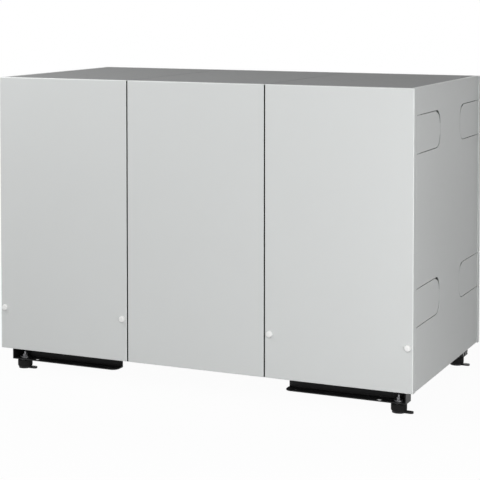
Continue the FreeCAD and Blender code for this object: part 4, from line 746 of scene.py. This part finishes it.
class HEATPUMP_OT_switch_marks(bpy.types.Operator):
    """Prints the figures of the main switch's two positions on its plate"""
    bl_idname = "heatpump.switch_marks"
    bl_label = "Switch marks"

    def execute(self, context):
        sizes = context.scene.heatpump_mark
        low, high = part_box("main_switch")
        middle, level = (low.x + high.x) / 2, (low.z + high.z) / 2
        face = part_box("electrical_cover")[0].y
        figures = []
        for figure, x, z in (("0", 0.0, sizes.reach), ("1", sizes.reach, 0.0)):
            bpy.ops.object.select_all(action="DESELECT")
            bpy.ops.object.text_add(location=(middle + x, face, level + z), rotation=(math.pi / 2, 0.0, 0.0))
            mark = bpy.context.object
            mark.data.body = figure
            mark.data.size = sizes.height / FIGURE_SHARE
            mark.data.align_x = mark.data.align_y = "CENTER"
            mark.data.extrude = sizes.thick
            bpy.ops.object.convert(target="MESH")
            bpy.ops.object.transform_apply(location=True, rotation=True, scale=True)
            figures.append(bpy.context.object)
        piece = joined("switch_marks", figures)
        close_seams(piece)
        done(piece, "black_plastic", "cabinet")
        return {"FINISHED"}


def close_seams(piece):
    """Merges the edges that a text's mesh has twice, and turns its faces outwards."""
    only(piece)
    bpy.ops.object.mode_set(mode="EDIT")
    bpy.ops.mesh.select_all(action="SELECT")
    bpy.ops.mesh.remove_doubles(threshold=1e-6)
    bpy.ops.mesh.normals_make_consistent(inside=False)
    bpy.ops.object.mode_set(mode="OBJECT")


# Floor, light and camera

def seen_directly(tree):
    """One for rays from the camera, a mirror or a glass, and nought for other light."""
    rays = tree.nodes.new("ShaderNodeLightPath").outputs
    through = worked(tree, "ADD", rays["Is Glossy Ray"], rays["Is Transmission Ray"])
    return worked(tree, "ADD", rays["Is Camera Ray"], through, limited=True)


class HEATPUMP_OT_stage(bpy.types.Operator):
    """Adds the floor, the sky, the lamps and the camera"""
    bl_idname = "heatpump.stage"
    bl_label = "Stage"

    def execute(self, context):
        look = context.scene.heatpump_stage
        bpy.ops.object.select_all(action="DESELECT")
        bpy.ops.mesh.primitive_plane_add(size=FLOOR_WIDTH, location=(0.0, 0.0, -FLOOR_DROP))
        floor = bpy.context.object
        floor.name = "floor"
        floor.data.materials.append(self.floor_finish(look))
        self.sky(context.scene, look)
        for name, place, target, edge in LAMPS:
            self.lamp(f"{name}_light", place, target, edge, getattr(look, name))
        self.camera(context.scene, look)
        context.scene.view_settings.view_transform = "Standard"
        return {"FINISHED"}

    def floor_finish(self, look):
        """White where it is seen directly, with a faint shadow round the object, and matt otherwise."""
        tree, shader = finish("floor", look.floor, roughness=0.9)
        shader.inputs["Specular IOR Level"].default_value = 0.1
        glow = tree.nodes.new("ShaderNodeEmission")
        glow.inputs["Strength"].default_value = 1.0
        mix = tree.nodes.new("ShaderNodeMixShader")
        away = tree.nodes.new("ShaderNodeVectorMath")
        away.operation = "LENGTH"
        tree.links.new(coordinates(tree), away.inputs[0])
        glowing = spread(tree, away.outputs["Value"], 1.0 - look.shade, 1.0, look.shade_start, look.shade_end)
        tree.links.new(worked(tree, "MULTIPLY", seen_directly(tree), glowing), mix.inputs[0])
        tree.links.new(shader.outputs[0], mix.inputs[1])
        tree.links.new(glow.outputs[0], mix.inputs[2])
        tree.links.new(mix.outputs[0], tree.nodes["Material Output"].inputs["Surface"])
        return FINISHES["floor"]

    def sky(self, scene, look):
        """White where it is seen directly, and a faint even light for all else."""
        scene.world = scene.world or bpy.data.worlds.new("sky")
        scene.world.use_nodes = True
        tree = scene.world.node_tree
        tree.nodes.clear()
        out = tree.nodes.new("ShaderNodeOutputWorld")
        mix = tree.nodes.new("ShaderNodeMixShader")
        tree.links.new(seen_directly(tree), mix.inputs[0])
        for socket, strength in ((1, look.sky), (2, 1.0)):
            light = tree.nodes.new("ShaderNodeBackground")
            light.inputs["Strength"].default_value = strength
            light.inputs["Color"].default_value = (1.0, 1.0, 1.0, 1.0)
            tree.links.new(light.outputs[0], mix.inputs[socket])
        tree.links.new(mix.outputs[0], out.inputs["Surface"])

    def lamp(self, name, place, target, edge, watts):
        """A square lamp that faces its target and isn't seen itself."""
        bpy.ops.object.light_add(type="AREA", location=place)
        lamp = bpy.context.object
        lamp.name = name
        lamp.data.size = edge
        lamp.data.energy = watts
        lamp.visible_camera = False
        lamp.rotation_euler = (Vector(target) - Vector(place)).to_track_quat("-Z", "Y").to_euler()

    def camera(self, scene, look):
        """The camera that was fitted to the photo's straight edges."""
        bpy.ops.object.camera_add(location=look.camera_place,
                                  rotation=(math.pi / 2 - look.camera_tilt, 0.0, look.camera_turn))
        camera = bpy.context.object
        camera.data.lens = look.focal * camera.data.sensor_width
        camera.data.shift_y = look.shift
        scene.camera = camera


class HEATPUMP_PT_panel(bpy.types.Panel):
    """Lists the steps that dress the heat pump"""
    bl_idname = "HEATPUMP_PT_panel"
    bl_label = "Heat pump"
    bl_space_type = "VIEW_3D"
    bl_region_type = "UI"
    bl_category = "Heat pump"

    def draw(self, context):
        for step in STEPS:
            self.layout.operator(step.bl_idname)


GROUPS = {"heatpump_casing": CasingLook, "heatpump_foam": FoamSizes, "heatpump_gasket": GasketSizes,
          "heatpump_seal": SealSizes, "heatpump_screw": ScrewSizes, "heatpump_weld": WeldSizes,
          "heatpump_tape": TapeSizes, "heatpump_mark": MarkSizes, "heatpump_stage": StageLook}
STEPS = (HEATPUMP_OT_finishes, HEATPUMP_OT_foam_mats, HEATPUMP_OT_gaskets, HEATPUMP_OT_edge_seals,
         HEATPUMP_OT_lid_screws, HEATPUMP_OT_weld_beads, HEATPUMP_OT_tape_bands, HEATPUMP_OT_switch_marks,
         HEATPUMP_OT_stage)


def register():
    for name, kind in GROUPS.items():
        bpy.utils.register_class(kind)
        setattr(bpy.types.Scene, name, PointerProperty(type=kind))
    for kind in (*STEPS, HEATPUMP_PT_panel):
        bpy.utils.register_class(kind)


def unregister():
    for kind in (HEATPUMP_PT_panel, *reversed(STEPS)):
        bpy.utils.unregister_class(kind)
    for name, kind in reversed(GROUPS.items()):
        delattr(bpy.types.Scene, name)
        bpy.utils.unregister_class(kind)


def main():
    register()
    for step in STEPS:
        group, name = step.bl_idname.split(".")
        getattr(getattr(bpy.ops, group), name)()


if __name__ == "__main__":
    main()
